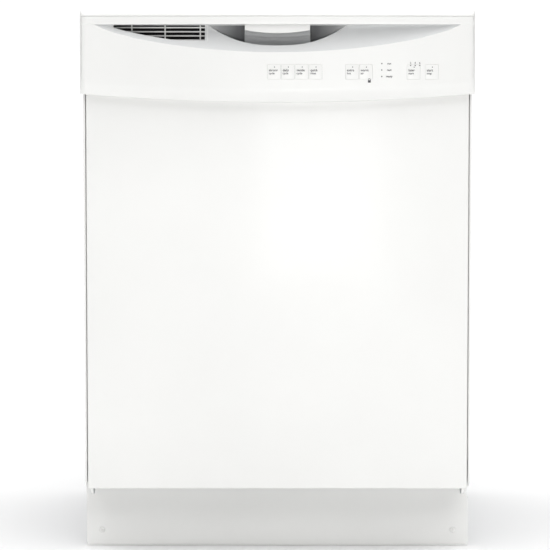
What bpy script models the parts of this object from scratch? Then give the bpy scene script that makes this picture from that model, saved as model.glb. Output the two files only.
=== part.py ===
"""A built-in dishwasher with front controls, as separate named sub-parts, in metres.

The front faces -Y, +X is to the right of someone who stands in front of it, and +Z is up.
The origin is on the floor, at the middle of the machine's width and depth. The door is shut.
Run with: blender --background --python part.py
"""

import math

import bmesh
import bpy
from mathutils import Matrix, Vector

# ---------------------------------------------------------------- driving dimensions, in metres
WIDTH = 0.607  # over the control panel's ends
HEIGHT = 0.843  # floor to the control panel's crown
DEPTH = 0.628  # control panel's face to the back of the base frame
TOE_SPACE = 0.102  # floor to the door's lower edge
TOE_RECESS = 0.065  # toe kick behind the door's face
SEAT = 0.0005  # gap left between two pieces that rest on each other
RUN = 0.0008  # gap left round a piece that moves

# Door
CONSOLE_PROUD = 0.024  # control panel's face in front of the door's face, at its middle
CONSOLE_BOW = 0.008  # how much less it stands out at its ends
DOOR_THICK = 0.058
DOOR_SKIN = 0.0015
PANEL_RETURN = 0.030  # depth of the outer panel's folded edges
SKIRT_BACK = 0.012  # the skirt's front edge behind the door's face
DOOR_EDGE_GAP = 0.0025  # between the outer panel's edge and the inner panel's skirt
SKIRT = 0.002  # the inner panel's wall
SKIRT_INSET = 0.0035  # the skirt's side inside the control panel's end
HINGE_IN = 0.030  # hinge axis behind the door's face
HINGE_UP = 0.012  # hinge axis above the door's lower edge
LINER_DISH = 0.020  # how far the inner panel's middle is dished
LINER_RIM = 0.063  # width of the flat rim round the dish

# Control panel
CONSOLE_WALL = 0.003
CONSOLE_END_HEIGHT = 0.1275  # at its ends; the lower edge bows down between them
CONSOLE_SMILE = 0.013
CONSOLE_END_RADIUS = 0.006
CONSOLE_LOW_RADIUS = 0.005
CONSOLE_BACK = 0.028  # rear edge behind the door's face
CROWN = 0.0070  # height of the rounded crown above the groove
CROWN_BACK = 0.012
GROOVE = 0.0010
GROOVE_HIGH = 0.0008
LIP_DROP = 0.0205  # top of the control panel to the lip over the scoop
SCOOP_HALF = 0.2815  # half the length of the lens-shaped scoop
SCOOP_HEIGHT = 0.0416
SCOOP_POWER = 0.76  # how blunt the scoop's ends are
SCOOP_DEPTH = 0.020

# Vent, finger pocket and latch handle
VENT_LEFT = -0.2515
VENT_RIGHT = -0.1115
VENT_BAND = 0.0088  # scoop surface left below the vent
VENT_PITCH = 0.0063
VENT_BAR = 0.0020
VENT_RIBS = (-0.2240, -0.1730, -0.1195)
GRILLE_THICK = 0.003
DUCT_WALL = 0.002
POCKET_HALF = 0.088
POCKET_END_DROP = 0.0340
POCKET_LOW_DROP = 0.0538
POCKET_DEPTH = 0.040
HANDLE_HALF = 0.050
HANDLE_DROP = 0.0325  # control panel's top to the handle's lower edge, at its ends
HANDLE_SAG = 0.0025
HANDLE_BACK = 0.0055
HANDLE_THICK = 0.003
HANDLE_PIVOT_DROP = 0.0115
HANDLE_PIN = 0.0016
HANDLE_PIN_OUT = 0.005  # how far the pins stand out of the tab
LATCH_EAR = 0.0025
LATCH_WALL = 0.002
CATCH_DEEP = 0.026  # latch's catch plate to the inner panel

# Buttons: x of each middle, and their common size
BUTTONS = (
    ("button_heavy", -0.0054),
    ("button_normal", 0.0158),
    ("button_light", 0.0370),
    ("button_rinse", 0.0582),
    ("button_hot", 0.1141),
    ("button_dry", 0.1353),
    ("button_delay", 0.2084),
    ("button_start", 0.2364),
)
BUTTON_WIDE = 0.0202
BUTTON_HIGH = 0.0226
BUTTON_DROP = 0.0942  # control panel's top to the buttons' middle
BUTTON_GAP = 0.0004
BUTTON_TRAVEL = 0.0012
BUTTON_STEM = 0.003
BOARD_THICK = 0.0016
BOARD_MARGIN = 0.020  # board beyond the outer buttons' middles
BOARD_DOWN = 0.018
BOARD_UP = 0.022

# Tub
TUB_WALL = 0.003
TUB_SIDE_GAP = 0.0235  # control panel's end to the tub's side
TUB_TOP_GAP = 0.025
TUB_FLOOR = 0.122  # underside of the floor
TUB_FLANGE = 0.006  # how far the mouth's flange stands out from the sides
TUB_LIP = 0.0130  # height of the sill over the floor
TUB_BACK_GAP = 0.013
MOUTH_GAP = 0.0105  # door's inner face to the tub's flange, with the gasket between
GASKET_RADIUS = 0.0045
LEDGE_HIGH = 0.0175  # wheel ledge over the tub's floor
LEDGE_WIDE = 0.033
BLANKET = 0.007
BLANKET_UP = 0.055  # tub's underside to the blanket's lower edge
GASKET_BEND = 0.025
SHEET = 0.0015  # galvanised steel
ARM_PLATE = 0.0025
STRIKE_THICK = 0.002
STRIKE_HALF = 0.010
STRIKE_ROOM = 0.006  # the strike's hole beyond its sides
STRIKE_LIFT = 0.004  # and over and under it
FRAME_DEEP = 0.030
TOP_TAB_HALF = 0.020
TOP_TAB_OUT = 0.010
BASE_LOW = 0.030
BASE_HIGH = 0.110
BASE_FLANGE = 0.032
CROSS_HIGH = 0.030
PIVOT_PIN = 0.0045
HINGE_PLATE = 0.012  # half the hinge bracket's height
TOE_SCREW_X = 0.2790
TOE_SCREW_Z = 0.0255
TOE_SCREW_HOLE = 0.0025
TOE_SCREW_HEAD = 0.0045
TOE_TAB_HALF = 0.010
TOE_CORNER = 0.004
TOE_NOTCH = 0.0025
TOE_NOTCH_HIGH = 0.020
TOE_CLEAR = 0.003  # floor to the toe kick
LEG_STUD = 0.004
LEG_FOOT = 0.015
LEG_FOOT_HIGH = 0.010
LEG_TOP = 0.052
LEG_NUT_HIGH = 0.0065

# Wash system
ARM_Y = 0.030  # the spray arms' axis
SUMP_RADIUS = 0.098
SUMP_DEEP = 0.052
SUMP_LAP = 0.008  # sump's rim under the tub's floor
SUMP_RIM = 0.030  # height of the sump's straight rim
OUTLET_DROP = 0.020  # sump's top to the middle of its outlet
FILTER_LAP = 0.010  # sump's radius over the filter's
POST_RADIUS = 0.0080
MOTOR_RADIUS = 0.036
MOTOR_LONG = 0.115
MOTOR_NECK = 0.014
PUMP_WIDE = 0.050
PUMP_HALF = 0.026
CONDUIT = 0.0110
CONDUIT_BEND = 0.030
CONDUIT_GAP = 0.0015  # to the tub's back and ceiling
TOP_HEAD = 0.020
DOCK_DROP = 0.012  # upper rack's base to the middle of its feed
HEATER_ROD = 0.0040
HEATER_HALF = 0.190
HEATER_UP = 0.020  # rod over the tub's floor
HEATER_BEND = 0.060
HEATER_END_X = 0.030
ARM_HALF = 0.222
ARM_WIDE = 0.036
ARM_THICK = 0.014
ARM_HUB = 0.021
LOWER_ARM_UP = 0.036  # underside over the tub's floor
FLOAT_X = -0.205
FLOAT_RADIUS = 0.018
FLOAT_HIGH = 0.036
FLOAT_STEM = 0.0040

# Racks
RACK_FRONT_GAP = 0.017  # door's inner face to the racks
RACK_BACK_GAP = 0.054  # racks to the tub's back
WIRE = 0.004
WIRE_INSET = 0.012  # outer wires inside the rack's sides
LOWER_SIDE_GAP = 0.037  # tub's inner side to the lower rack
LOWER_BASE_UP = 0.075
LOWER_HIGH = 0.135
UPPER_SIDE_GAP = 0.042
UPPER_BASE_UP = 0.375
UPPER_HIGH = 0.120
WHEEL_RADIUS = 0.020
WHEEL_WIDE = 0.012
WHEEL_AXLE = 0.003
WHEEL_IN = 0.062  # front and rear wheels inside the rack's ends
WHEEL_GAP = 0.004  # rack's side to its wheels
HANGER_HALF = 0.008
FEED_HALF = 0.012
RAIL_WIDE = 0.010
RAIL_HIGH = 0.022
RAIL_WALL = 0.003
RAIL_GAP = 0.010  # upper rack's side to its rails
RUNNER_FRONT = 0.030  # runner inside the rack's front end
RUNNER_BACK = 0.040
RAIL_UP = 0.068  # rail's underside over the upper rack's base
BASKET_WIDE = 0.120
BASKET_LONG = 0.200
BASKET_HIGH = 0.110
BASKET_WALL = 0.002
BASKET_BACK_GAP = 0.020

# Detergent dispenser, in the dish of the inner door panel
DISPENSER_X = 0.030
DISPENSER_WIDE = 0.165
DISPENSER_HIGH = 0.088
DISPENSER_UP = 0.400  # middle over the floor
DISPENSER_DEEP = 0.028
LID_WIDE = 0.080
LID_HIGH = 0.060
LID_THICK = 0.004
CAP_RADIUS = 0.019
CAP_DEEP = 0.008
GRIP_HIGH = 0.006
FACE_MARGIN = 0.010  # housing's end to the lid, and to the cap
CUP_MARGIN = 0.008
HOUSING_PROUD = 0.008  # over the floor of the dish

# Services in the base
VALVE_IN = 0.085  # from the control panel's end
VALVE_HALF = 0.020
JUNCTION_IN = 0.095
JUNCTION_HALF = 0.038
JUNCTION_LONG = 0.055
JUNCTION_HIGH = 0.048

# ---------------------------------------------------------------- derived planes
HALF = WIDTH / 2
Y_DOOR = -DEPTH / 2 + CONSOLE_PROUD  # the door's outer face
Y_LINER = Y_DOOR + DOOR_THICK  # the door's inner face
Y_MOUTH = Y_LINER + MOUTH_GAP  # the tub's flange
Y_BACK = DEPTH / 2
Y_TOE = Y_DOOR + TOE_RECESS
Y_BASE = Y_TOE + 0.008  # front of the base frame
Z_LIP = HEIGHT - LIP_DROP
Z_HINGE = TOE_SPACE + HINGE_UP
Y_HINGE = Y_DOOR + HINGE_IN
SKIRT_X = HALF - SKIRT_INSET
PANEL_X = SKIRT_X - SKIRT - DOOR_EDGE_GAP
PANEL_TOP = HEIGHT - 0.078  # the outer panel ends behind the control panel
TUB_X = HALF - TUB_SIDE_GAP
TUB_IN = TUB_X - TUB_WALL
TUB_TOP = HEIGHT - TUB_TOP_GAP
TUB_BACK = Y_BACK - TUB_BACK_GAP
FLOOR_IN = TUB_FLOOR + TUB_WALL
SUMP_LOW = TUB_FLOOR - SEAT - SUMP_DEEP
FILTER_RADIUS = SUMP_RADIUS - FILTER_LAP
CONDUIT_Y = TUB_BACK - TUB_WALL - CONDUIT - CONDUIT_GAP
FLOAT_Y = Y_MOUTH + 0.045
LEDGE_TOP = FLOOR_IN + LEDGE_HIGH
AXLE_Z = LEDGE_TOP + WHEEL_RADIUS + SEAT
FRAME_X = HALF - 0.0065
RACK_FRONT = Y_LINER + RACK_FRONT_GAP
RACK_BACK = TUB_BACK - TUB_WALL - RACK_BACK_GAP
FEED_BACK = RACK_BACK + 0.003  # rear end of the upper rack's water feed
LOWER_X = TUB_IN - LOWER_SIDE_GAP
UPPER_X = TUB_IN - UPPER_SIDE_GAP
RAIL_X = UPPER_X + RAIL_GAP
LOWER_Z = FLOOR_IN + LOWER_BASE_UP
UPPER_Z = FLOOR_IN + UPPER_BASE_UP
BRACKET_X = PANEL_X - 0.0015  # inner face of the hinge bracket
STRIKE_Z = TUB_TOP - 0.012
INNER_TOP = HEIGHT - 0.004  # top of the inner door panel
NOTCH = 0.030  # height of the hinge's room over its axis, in the door's corners
SECTOR = 0.025  # radius of the hinge arm's cable sector
SECTOR_THICK = 0.003
ARM_LONG = 0.230
LID_X = DISPENSER_X - DISPENSER_WIDE / 2 + FACE_MARGIN + LID_WIDE / 2
LID_HINGE_Z = DISPENSER_UP + LID_HIGH / 2 - 0.0015
LID_BARREL = 0.002
CAP_X = DISPENSER_X + DISPENSER_WIDE / 2 - FACE_MARGIN - CAP_RADIUS
HOUSING_FACE = Y_LINER - LINER_DISH + HOUSING_PROUD
CABLE_RADIUS = 0.0012
CABLE_LONG = 0.070  # tub's mouth to the spring
SPRING_LONG = 0.170
SPRING_TAIL = 0.030
SPRING_CORE = 0.0046
SPRING_RADIUS = 0.0060
SPRING_WIRE = 0.0015
SPRING_RIBS = 9
Z_SPRING = Z_HINGE + SECTOR + CABLE_RADIUS + SEAT

MATERIALS = {
    "white_plastic": ((0.86, 0.86, 0.85), 0.32, 0.0),
    "white_enamel": ((0.88, 0.88, 0.87), 0.25, 0.0),
    "grey_plastic": ((0.45, 0.46, 0.47), 0.45, 0.0),
    "dark_plastic": ((0.02, 0.02, 0.022), 0.5, 0.0),
    "tub_plastic": ((0.55, 0.56, 0.57), 0.4, 0.0),
    "galvanised": ((0.62, 0.63, 0.64), 0.4, 1.0),
    "stainless": ((0.70, 0.70, 0.69), 0.28, 1.0),
    "rubber": ((0.10, 0.10, 0.10), 0.7, 0.0),
    "blanket": ((0.20, 0.20, 0.21), 0.9, 0.0),
    "rack_vinyl": ((0.35, 0.40, 0.46), 0.4, 0.0),
    "circuit_board": ((0.05, 0.22, 0.10), 0.5, 0.0),
    "blue_plastic": ((0.18, 0.27, 0.42), 0.4, 0.0),
}

DOOR_PIECES = [
    "outer_door_panel",
    "inner_door_panel",
    "door_insulation",
    "console",
    "control_board",
    "vent_grille",
    "vent_duct",
    "handle_pocket",
    "latch_handle",
    "latch_housing",
    "hinge_arm_left",
    "hinge_arm_right",
    "dispenser_housing",
    "dispenser_lid",
    "rinse_aid_cap",
]


# ---------------------------------------------------------------- scene and materials
def clear_scene():
    for obj in list(bpy.data.objects):
        bpy.data.objects.remove(obj)


def collection(name):
    made = bpy.data.collections.new(name)
    bpy.context.scene.collection.children.link(made)
    return made


def material(name):
    if name in bpy.data.materials:
        return bpy.data.materials[name]
    colour, roughness, metallic = MATERIALS[name]
    made = bpy.data.materials.new(name)
    made.use_nodes = True
    shader = made.node_tree.nodes["Principled BSDF"]
    shader.inputs["Base Color"].default_value = (*colour, 1.0)
    shader.inputs["Roughness"].default_value = roughness
    shader.inputs["Metallic"].default_value = metallic
    return made


# ---------------------------------------------------------------- shape helpers
def from_bmesh(name, mesh_data, finish=None):
    """A new object from a bmesh: a sub-part where a finish is given, and a cutter where not."""
    mesh = bpy.data.meshes.new(name)
    mesh_data.to_mesh(mesh)
    mesh_data.free()
    obj = bpy.data.objects.new(name, mesh)
    if finish is None:
        CUTTERS.objects.link(obj)
        obj.hide_render = True
        obj.display_type = "WIRE"
    else:
        PARTS.objects.link(obj)
        mesh.materials.append(material(finish))
    return obj


def add_box(bm, low, high):
    low, high = Vector(low), Vector(high)
    size = high - low
    matrix = Matrix.Translation((low + high) / 2) @ Matrix.Diagonal((*size, 1.0))
    bmesh.ops.create_cube(bm, size=1.0, matrix=matrix)


def box(name, low, high, finish=None):
    bm = bmesh.new()
    add_box(bm, low, high)
    return from_bmesh(name, bm, finish)


def add_rod(bm, start, end, radius, sides=16, end_radius=None):
    start, end = Vector(start), Vector(end)
    along = end - start
    turn = along.to_track_quat("Z", "Y").to_matrix().to_4x4()
    bmesh.ops.create_cone(
        bm,
        cap_ends=True,
        segments=sides,
        radius1=radius,
        radius2=radius if end_radius is None else end_radius,
        depth=along.length,
        matrix=Matrix.Translation((start + end) / 2) @ turn,
    )


def rod(name, start, end, radius, finish=None, sides=16, end_radius=None):
    bm = bmesh.new()
    add_rod(bm, start, end, radius, sides, end_radius)
    return from_bmesh(name, bm, finish)


def loft(name, sections, finish=None):
    """A closed solid through sections that all have the same number of points."""
    bm = bmesh.new()
    rings = [[bm.verts.new(point) for point in section] for section in sections]
    for ring, following in zip(rings, rings[1:]):
        for i, vertex in enumerate(ring):
            j = (i + 1) % len(ring)
            bm.faces.new((vertex, ring[j], following[j], following[i]))
    bm.faces.new(rings[0])
    bm.faces.new(rings[-1])
    bmesh.ops.recalc_face_normals(bm, faces=bm.faces)
    return from_bmesh(name, bm, finish)


def prism(name, outline, y_low, y_high, finish=None):
    """An outline of (x, z) points, extruded along Y."""
    ends = [[(x, y, z) for x, z in outline] for y in (y_low, y_high)]
    return loft(name, ends, finish)


def turned(name, profile, centre, finish=None, axis="Z", steps=24):
    """A profile of (radius, height) points that starts and ends on the axis, turned about it."""
    mesh = bpy.data.meshes.new(name)
    points = [(radius, 0.0, height) for radius, height in profile]
    mesh.from_pydata(points, [(i, i + 1) for i in range(len(points) - 1)], [])
    obj = bpy.data.objects.new(name, mesh)
    obj.location = centre
    if axis == "-Y":
        obj.rotation_euler = (math.pi / 2, 0.0, 0.0)
    screw = obj.modifiers.new("turn", "SCREW")
    screw.steps = steps
    screw.render_steps = steps
    screw.use_merge_vertices = True
    screw.merge_threshold = 0.00001
    if finish is None:
        CUTTERS.objects.link(obj)
        obj.hide_render = True
        obj.display_type = "WIRE"
    else:
        PARTS.objects.link(obj)
        mesh.materials.append(material(finish))
    return obj


def tube(name, points, radius, finish, sides=2):
    """A round rod along a list of points."""
    curve = bpy.data.curves.new(name, "CURVE")
    curve.dimensions = "3D"
    curve.bevel_depth = radius
    curve.bevel_resolution = sides
    curve.use_fill_caps = True
    spline = curve.splines.new("POLY")
    spline.points.add(len(points) - 1)
    for point, place in zip(spline.points, points):
        point.co = (*place, 1.0)
    obj = bpy.data.objects.new(name, curve)
    PARTS.objects.link(obj)
    curve.materials.append(material(finish))
    return obj


def cut(obj, cutter, operation="DIFFERENCE", own=False):
    """own lets the cutter's own pieces cross each other."""
    modifier = obj.modifiers.new(cutter.name, "BOOLEAN")
    modifier.operation = operation
    modifier.object = cutter
    modifier.solver = "EXACT"
    modifier.use_self = own
    return obj


def joined(name, finish, boxes=(), rods=()):
    """One solid from boxes (low, high) and rods (start, end, radius) that overlap."""
    shapes = [("box", *b) for b in boxes] + [("rod", *r) for r in rods]
    first, rest = shapes[0], shapes[1:]
    bm = bmesh.new()
    add_shape(bm, first)
    obj = from_bmesh(name, bm, finish)
    if rest:
        bm = bmesh.new()
        for shape in rest:
            add_shape(bm, shape)
        cut(obj, from_bmesh(name + "_pieces", bm), "UNION", own=True)
    return obj


def add_shape(bm, shape):
    if shape[0] == "box":
        add_box(bm, shape[1], shape[2])
    else:
        add_rod(bm, *shape[1:])


def bevelled(obj, width, segments=2):
    modifier = obj.modifiers.new("round", "BEVEL")
    modifier.width = width
    modifier.segments = segments
    modifier.limit_method = "ANGLE"
    modifier.angle_limit = math.radians(40)
    return obj


def arc(centre, radius, start, end, count):
    """Points (a, b) along an arc, angles in degrees."""
    found = []
    for i in range(count + 1):
        angle = math.radians(start + (end - start) * i / count)
        found.append((centre[0] + radius * math.cos(angle), centre[1] + radius * math.sin(angle)))
    return found


# ---------------------------------------------------------------- control panel surface
def console_face(x):
    """Y of the control panel's face, which bows in plan and rounds back at its ends."""
    share = min(1.0, abs(x) / HALF)
    y = Y_DOOR - CONSOLE_PROUD + CONSOLE_BOW * share**2
    past = abs(x) - (HALF - CONSOLE_END_RADIUS)
    if past > 0:
        past = min(past, CONSOLE_END_RADIUS)
        y += CONSOLE_END_RADIUS - math.sqrt(CONSOLE_END_RADIUS**2 - past**2)
    return y


def console_low(x):
    """Z of the control panel's lower edge."""
    share = min(1.0, abs(x) / HALF)
    return HEIGHT - CONSOLE_END_HEIGHT - CONSOLE_SMILE * (1 - share**2)


def scoop_height(x):
    share = min(1.0, abs(x) / SCOOP_HALF)
    return max(0.0008, SCOOP_HEIGHT * (1 - share**2) ** SCOOP_POWER)


def scoop_depth(x, share):
    """Depth of the scoop at a share of its height above its lower edge."""
    return SCOOP_DEPTH * scoop_height(x) / SCOOP_HEIGHT * math.sin(share * math.pi / 2)


def console_outer(x):
    """The control panel's outer section at x, from its lower rear corner round its face."""
    face, low, height = console_face(x), console_low(x), scoop_height(x)
    rear = Y_DOOR + CONSOLE_BACK
    points = [(rear, low)]
    corner = (face + CONSOLE_LOW_RADIUS, low + CONSOLE_LOW_RADIUS)
    points += arc(corner, CONSOLE_LOW_RADIUS, 270, 180, 3)
    for step in range(6):
        share = step / 5
        points.append((face + scoop_depth(x, share), Z_LIP - height * (1 - share)))
    points.append((face, Z_LIP + 0.0003))
    groove = HEIGHT - CROWN
    points.append((face, groove - GROOVE_HIGH * 1.5))
    points.append((face + GROOVE, groove - GROOVE_HIGH))
    points.append((face + GROOVE, groove))
    for step in range(4):
        angle = math.radians(90 * (step + 0.2) / 3.2)
        back = CROWN_BACK * (1 - math.cos(angle))
        points.append((face + GROOVE * 0.6 + back, groove + CROWN * math.sin(angle)))
    points.append((rear, HEIGHT))
    return [(x, y, z) for y, z in points]


def console_hollow(x, section_x):
    """The same section set in by the wall's thickness, which hollows the panel from behind."""
    wall, height = CONSOLE_WALL, scoop_height(section_x)
    face, low = console_face(section_x) + wall, console_low(section_x) + wall
    rear = Y_DOOR + CONSOLE_BACK + 0.010
    points = [(rear, low), (face, low)]
    for step in range(5):
        share = step / 4
        points.append((face + scoop_depth(section_x, share), Z_LIP - height * (1 - share)))
    points.append((face + scoop_depth(section_x, 1.0), Z_LIP + wall))
    points.append((face, Z_LIP + wall + 0.0003))
    points.append((face, HEIGHT - CROWN - wall / 2))
    points.append((face + CROWN_BACK / 2, HEIGHT - wall))
    points.append((rear, HEIGHT - wall))
    return [(x, y, z) for y, z in points]


def console_columns():
    """Where the sections lie: evenly along the face, and closer at the scoop's tips and the ends."""
    straight = HALF - CONSOLE_END_RADIUS
    count = 8
    right = [straight * i / count for i in range(count)]
    right += [SCOOP_HALF * 0.985, SCOOP_HALF, straight]
    right += [straight + CONSOLE_END_RADIUS * share for share in (0.5, 0.85, 1.0)]
    right = sorted(set(right))
    return [-x for x in reversed(right[1:])] + right


def lens_outline(left, right, count, low, high):
    """An (x, z) outline whose lower and upper edges are functions of x."""
    xs = [left + (right - left) * i / count for i in range(count + 1)]
    return [(x, low(x)) for x in xs] + [(x, high(x)) for x in reversed(xs)]


def vent_low(x):
    return min(Z_LIP - 0.0012, Z_LIP - scoop_height(x) + VENT_BAND)


def pocket_low(x):
    """Z of the finger pocket's curved lower edge."""
    share = min(1.0, abs(x) / POCKET_HALF)
    return HEIGHT - POCKET_LOW_DROP + (POCKET_LOW_DROP - POCKET_END_DROP) * share**2


def make_console():
    columns = console_columns()
    panel = loft("console", [console_outer(x) for x in columns], "white_plastic")
    inner = [x for x in columns if abs(x) < HALF - CONSOLE_END_RADIUS - 0.0001]
    limit = HALF - CONSOLE_WALL
    ends = [(-limit, -(HALF - CONSOLE_END_RADIUS)), (limit, HALF - CONSOLE_END_RADIUS)]
    hollows = [console_hollow(*ends[0])]
    hollows += [console_hollow(x, x) for x in inner]
    hollows += [console_hollow(*ends[1])]
    cut(panel, loft("console_hollow", hollows))
    cut_high = (WIDTH, Y_DOOR + 0.1, PANEL_TOP + SEAT)
    cut(panel, box("console_rear_cut", (-WIDTH, Y_DOOR - SEAT, 0), cut_high))
    front, back = Y_DOOR - 0.1, Y_DOOR + CONSOLE_BACK - 0.002
    vent = lens_outline(VENT_LEFT, VENT_RIGHT, 10, vent_low, lambda x: Z_LIP - 0.0003)
    cut(panel, prism("vent_opening", vent, front, back))
    pocket = lens_outline(-POCKET_HALF, POCKET_HALF, 12, pocket_low, lambda x: Z_LIP - 0.0003)
    cut(panel, prism("pocket_opening", pocket, front, back))
    face = console_face(0)
    slot = HANDLE_HALF + RUN * 2
    slot_low = (-slot, face + CONSOLE_WALL + 0.0003, Z_LIP - 0.004)
    slot_high = (slot, face + SCOOP_DEPTH + 0.006, Z_LIP + CONSOLE_WALL + 0.001)
    cut(panel, box("handle_slot", slot_low, slot_high))
    holes = bmesh.new()
    z = HEIGHT - BUTTON_DROP
    for _, x in BUTTONS:
        wide, high = BUTTON_WIDE / 2 + BUTTON_GAP, BUTTON_HIGH / 2 + BUTTON_GAP
        add_box(holes, (x - wide, front, z - high), (x + wide, Y_DOOR - 0.001, z + high))
    cut(panel, from_bmesh("control_holes", holes))


def make_buttons():
    z = HEIGHT - BUTTON_DROP
    for name, x in BUTTONS:
        wide, high = BUTTON_WIDE / 2, BUTTON_HIGH / 2
        back = console_face(x) + CONSOLE_WALL + 0.001
        sections = []
        for share in (-1.0, 0.0, 1.0):
            at = x + wide * share
            corners = ((console_face(at), -high), (console_face(at), high), (back, high), (back, -high))
            sections.append([(at, y, z + up) for y, up in corners])
        pad = loft(name, sections, "white_plastic")
        stem = (x, Y_DOOR - SEAT - BOARD_THICK - BUTTON_TRAVEL - 0.0008, z)
        cut(pad, rod(name + "_stem", (x, back - 0.001, z), stem, BUTTON_STEM, sides=8), "UNION")


def make_board():
    z = HEIGHT - BUTTON_DROP
    back = Y_DOOR - SEAT
    low = (BUTTONS[0][1] - BOARD_MARGIN, back - BOARD_THICK, z - BOARD_DOWN)
    high = (BUTTONS[-1][1] + BOARD_MARGIN, back, z + BOARD_UP)
    box("control_board", low, high, "circuit_board")


def make_vent():
    """The louvred grille behind the scoop's left opening, and the duct that it covers."""
    face = console_face(VENT_RIGHT)
    front = face + SCOOP_DEPTH + CONSOLE_WALL + SEAT
    back = front + GRILLE_THICK
    top = Z_LIP + 0.0015
    left, right = VENT_LEFT - 0.003, VENT_RIGHT + 0.003
    low_left = Z_LIP - SCOOP_HEIGHT * 0.78
    boxes = [((left, front, top - VENT_BAR), (right, back, top))]
    boxes.append(((left, front, low_left - VENT_BAR), (right, back, low_left)))
    boxes.append(((left - VENT_BAR, front, low_left - VENT_BAR), (left + 0.0005, back, top)))
    boxes.append(((right - 0.0005, front, low_left - VENT_BAR), (right + VENT_BAR, back, top)))
    count = int((top - VENT_BAR - low_left) / VENT_PITCH)
    for i in range(1, count + 1):
        z = top - VENT_BAR - i * VENT_PITCH
        if z - low_left > VENT_BAR:
            low = (left - 0.001, front + 0.0004, z)
            boxes.append((low, (right + 0.001, back - 0.0004, z + VENT_BAR)))
    for x in VENT_RIBS:
        low = (x - VENT_BAR / 2, front - 0.0002, low_left - 0.001)
        boxes.append((low, (x + VENT_BAR / 2, back - 0.0008, top - 0.001)))
    joined("vent_grille", "white_plastic", boxes)
    duct_low = (left - VENT_BAR, back + SEAT, low_left - VENT_BAR)
    duct_high = (right + VENT_BAR, Y_LINER - SKIRT - SEAT, top)
    duct = box("vent_duct", duct_low, duct_high, "dark_plastic")
    wall = Vector((DUCT_WALL, 0.0, DUCT_WALL))
    inner_low = Vector(duct_low) + wall - Vector((0, 0.01, 0))
    inner_high = Vector(duct_high) - wall - Vector((0, DUCT_WALL, 0))
    cut(duct, box("duct_room", inner_low, inner_high))


def pocket_depth(x):
    """Depth of the finger pocket behind the panel's face, deepest in its middle."""
    share = min(1.0, abs(x) / (POCKET_HALF + 0.003))
    return SCOOP_DEPTH + CONSOLE_WALL + SEAT + (POCKET_DEPTH - SCOOP_DEPTH) * (1 - share**4) ** 0.5


def make_pocket():
    """The finger pocket's liner: a bent sheet behind the scoop's middle opening."""
    face = console_face(0)
    top = Z_LIP - 0.0006
    shell, room = [], []
    count = 14
    for i in range(count + 1):
        x = (POCKET_HALF + 0.003) * (2 * i / count - 1)
        low = pocket_low(x) - 0.004
        front = console_face(x) + CONSOLE_WALL + scoop_depth(x, 1.0) + 1.5 * SEAT
        back = face + pocket_depth(x) + 0.003
        shell.append([(x, front, low), (x, front, top), (x, back, top), (x, back, low)])
    liner = loft("handle_pocket", shell, "grey_plastic")
    for i in range(count + 1):
        x = (POCKET_HALF + 0.001) * (2 * i / count - 1)
        low = pocket_low(x) - 0.001
        front = face + SCOOP_DEPTH - 0.004
        back = face + pocket_depth(x * 0.995)
        corners = ((front, low), (front, top - 0.002), (back, top - 0.002), (back, low + 0.006))
        room.append([(x, y, z) for y, z in corners])
    cut(liner, loft("pocket_room", room))
    slot = HANDLE_HALF + RUN * 2
    slot_high = (slot, face + SCOOP_DEPTH + 0.008, top + 0.002)
    cut(liner, box("pocket_slot", (-slot, face, top - 0.004), slot_high))


def make_handle():
    """The pull handle: a tab that hangs through the lip on two pins."""
    face = console_face(0)
    pivot = (face + HANDLE_BACK + HANDLE_THICK + 0.002, HEIGHT - HANDLE_PIVOT_DROP)
    count = 8
    outline = []
    for i in range(count + 1):
        share = 2 * i / count - 1
        outline.append((HANDLE_HALF * share, HEIGHT - HANDLE_DROP - HANDLE_SAG * (1 - share**2)))
    top = HEIGHT - HANDLE_PIVOT_DROP + HANDLE_PIN * 1.2
    outline += [(HANDLE_HALF, top), (-HANDLE_HALF, top)]
    bar_y = face + HANDLE_BACK + HANDLE_THICK
    tab = prism("latch_handle", outline, face + HANDLE_BACK, bar_y, "white_plastic")
    bar_low = (-HANDLE_HALF, bar_y - 0.001, pivot[1] - HANDLE_PIN)
    bar_high = (HANDLE_HALF, pivot[0] + HANDLE_PIN, pivot[1] + HANDLE_PIN)
    extra = bmesh.new()
    add_box(extra, bar_low, bar_high)
    end = HANDLE_HALF + HANDLE_PIN_OUT
    add_rod(extra, (-end, *pivot), (end, *pivot), HANDLE_PIN, 10)
    cut(tab, from_bmesh("handle_pins", extra), "UNION", own=True)
    return pivot


def make_latch(pivot):
    """The latch housing over the pocket: it carries the handle's pins and takes the strike."""
    in_x, out_x = HANDLE_HALF + RUN, HANDLE_HALF + RUN + LATCH_EAR
    y_back = Y_LINER - SKIRT - SEAT
    roof = INNER_TOP - SKIRT - SEAT
    boxes = []
    for side in (-1, 1):
        xs = sorted((side * in_x, side * out_x))
        boxes.append(((xs[0], pivot[0] - 0.004, Z_LIP + CONSOLE_WALL + SEAT), (xs[1], y_back, roof)))
    boxes.append(((-out_x, pivot[0] + 0.008, roof - LATCH_WALL), (out_x, y_back, roof)))
    catch_low = (-out_x, y_back - CATCH_DEEP, Z_LIP + LATCH_WALL + SEAT)
    boxes.append((catch_low, (out_x, y_back - CATCH_DEEP + LATCH_WALL, roof)))
    housing = joined("latch_housing", "grey_plastic", boxes)
    ends = [(side * 2 * out_x, *pivot) for side in (-1, 1)]
    cut(housing, rod("pin_holes", *ends, HANDLE_PIN + BUTTON_GAP, sides=10))


# ---------------------------------------------------------------- door
def hinge_notches(owner):
    """Corner cuts that leave room for the hinge brackets as the door swings."""
    for side in (-1, 1):
        xs = sorted((side * (BRACKET_X - 0.0075), side * (HALF + 0.01)))
        low = (xs[0], Y_DOOR + DOOR_SKIN + 0.001, 0.0)
        high = (xs[1], Y_LINER + 0.05, Z_HINGE + NOTCH)
        cut(owner, box(owner.name + "_notch", low, high))


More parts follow.
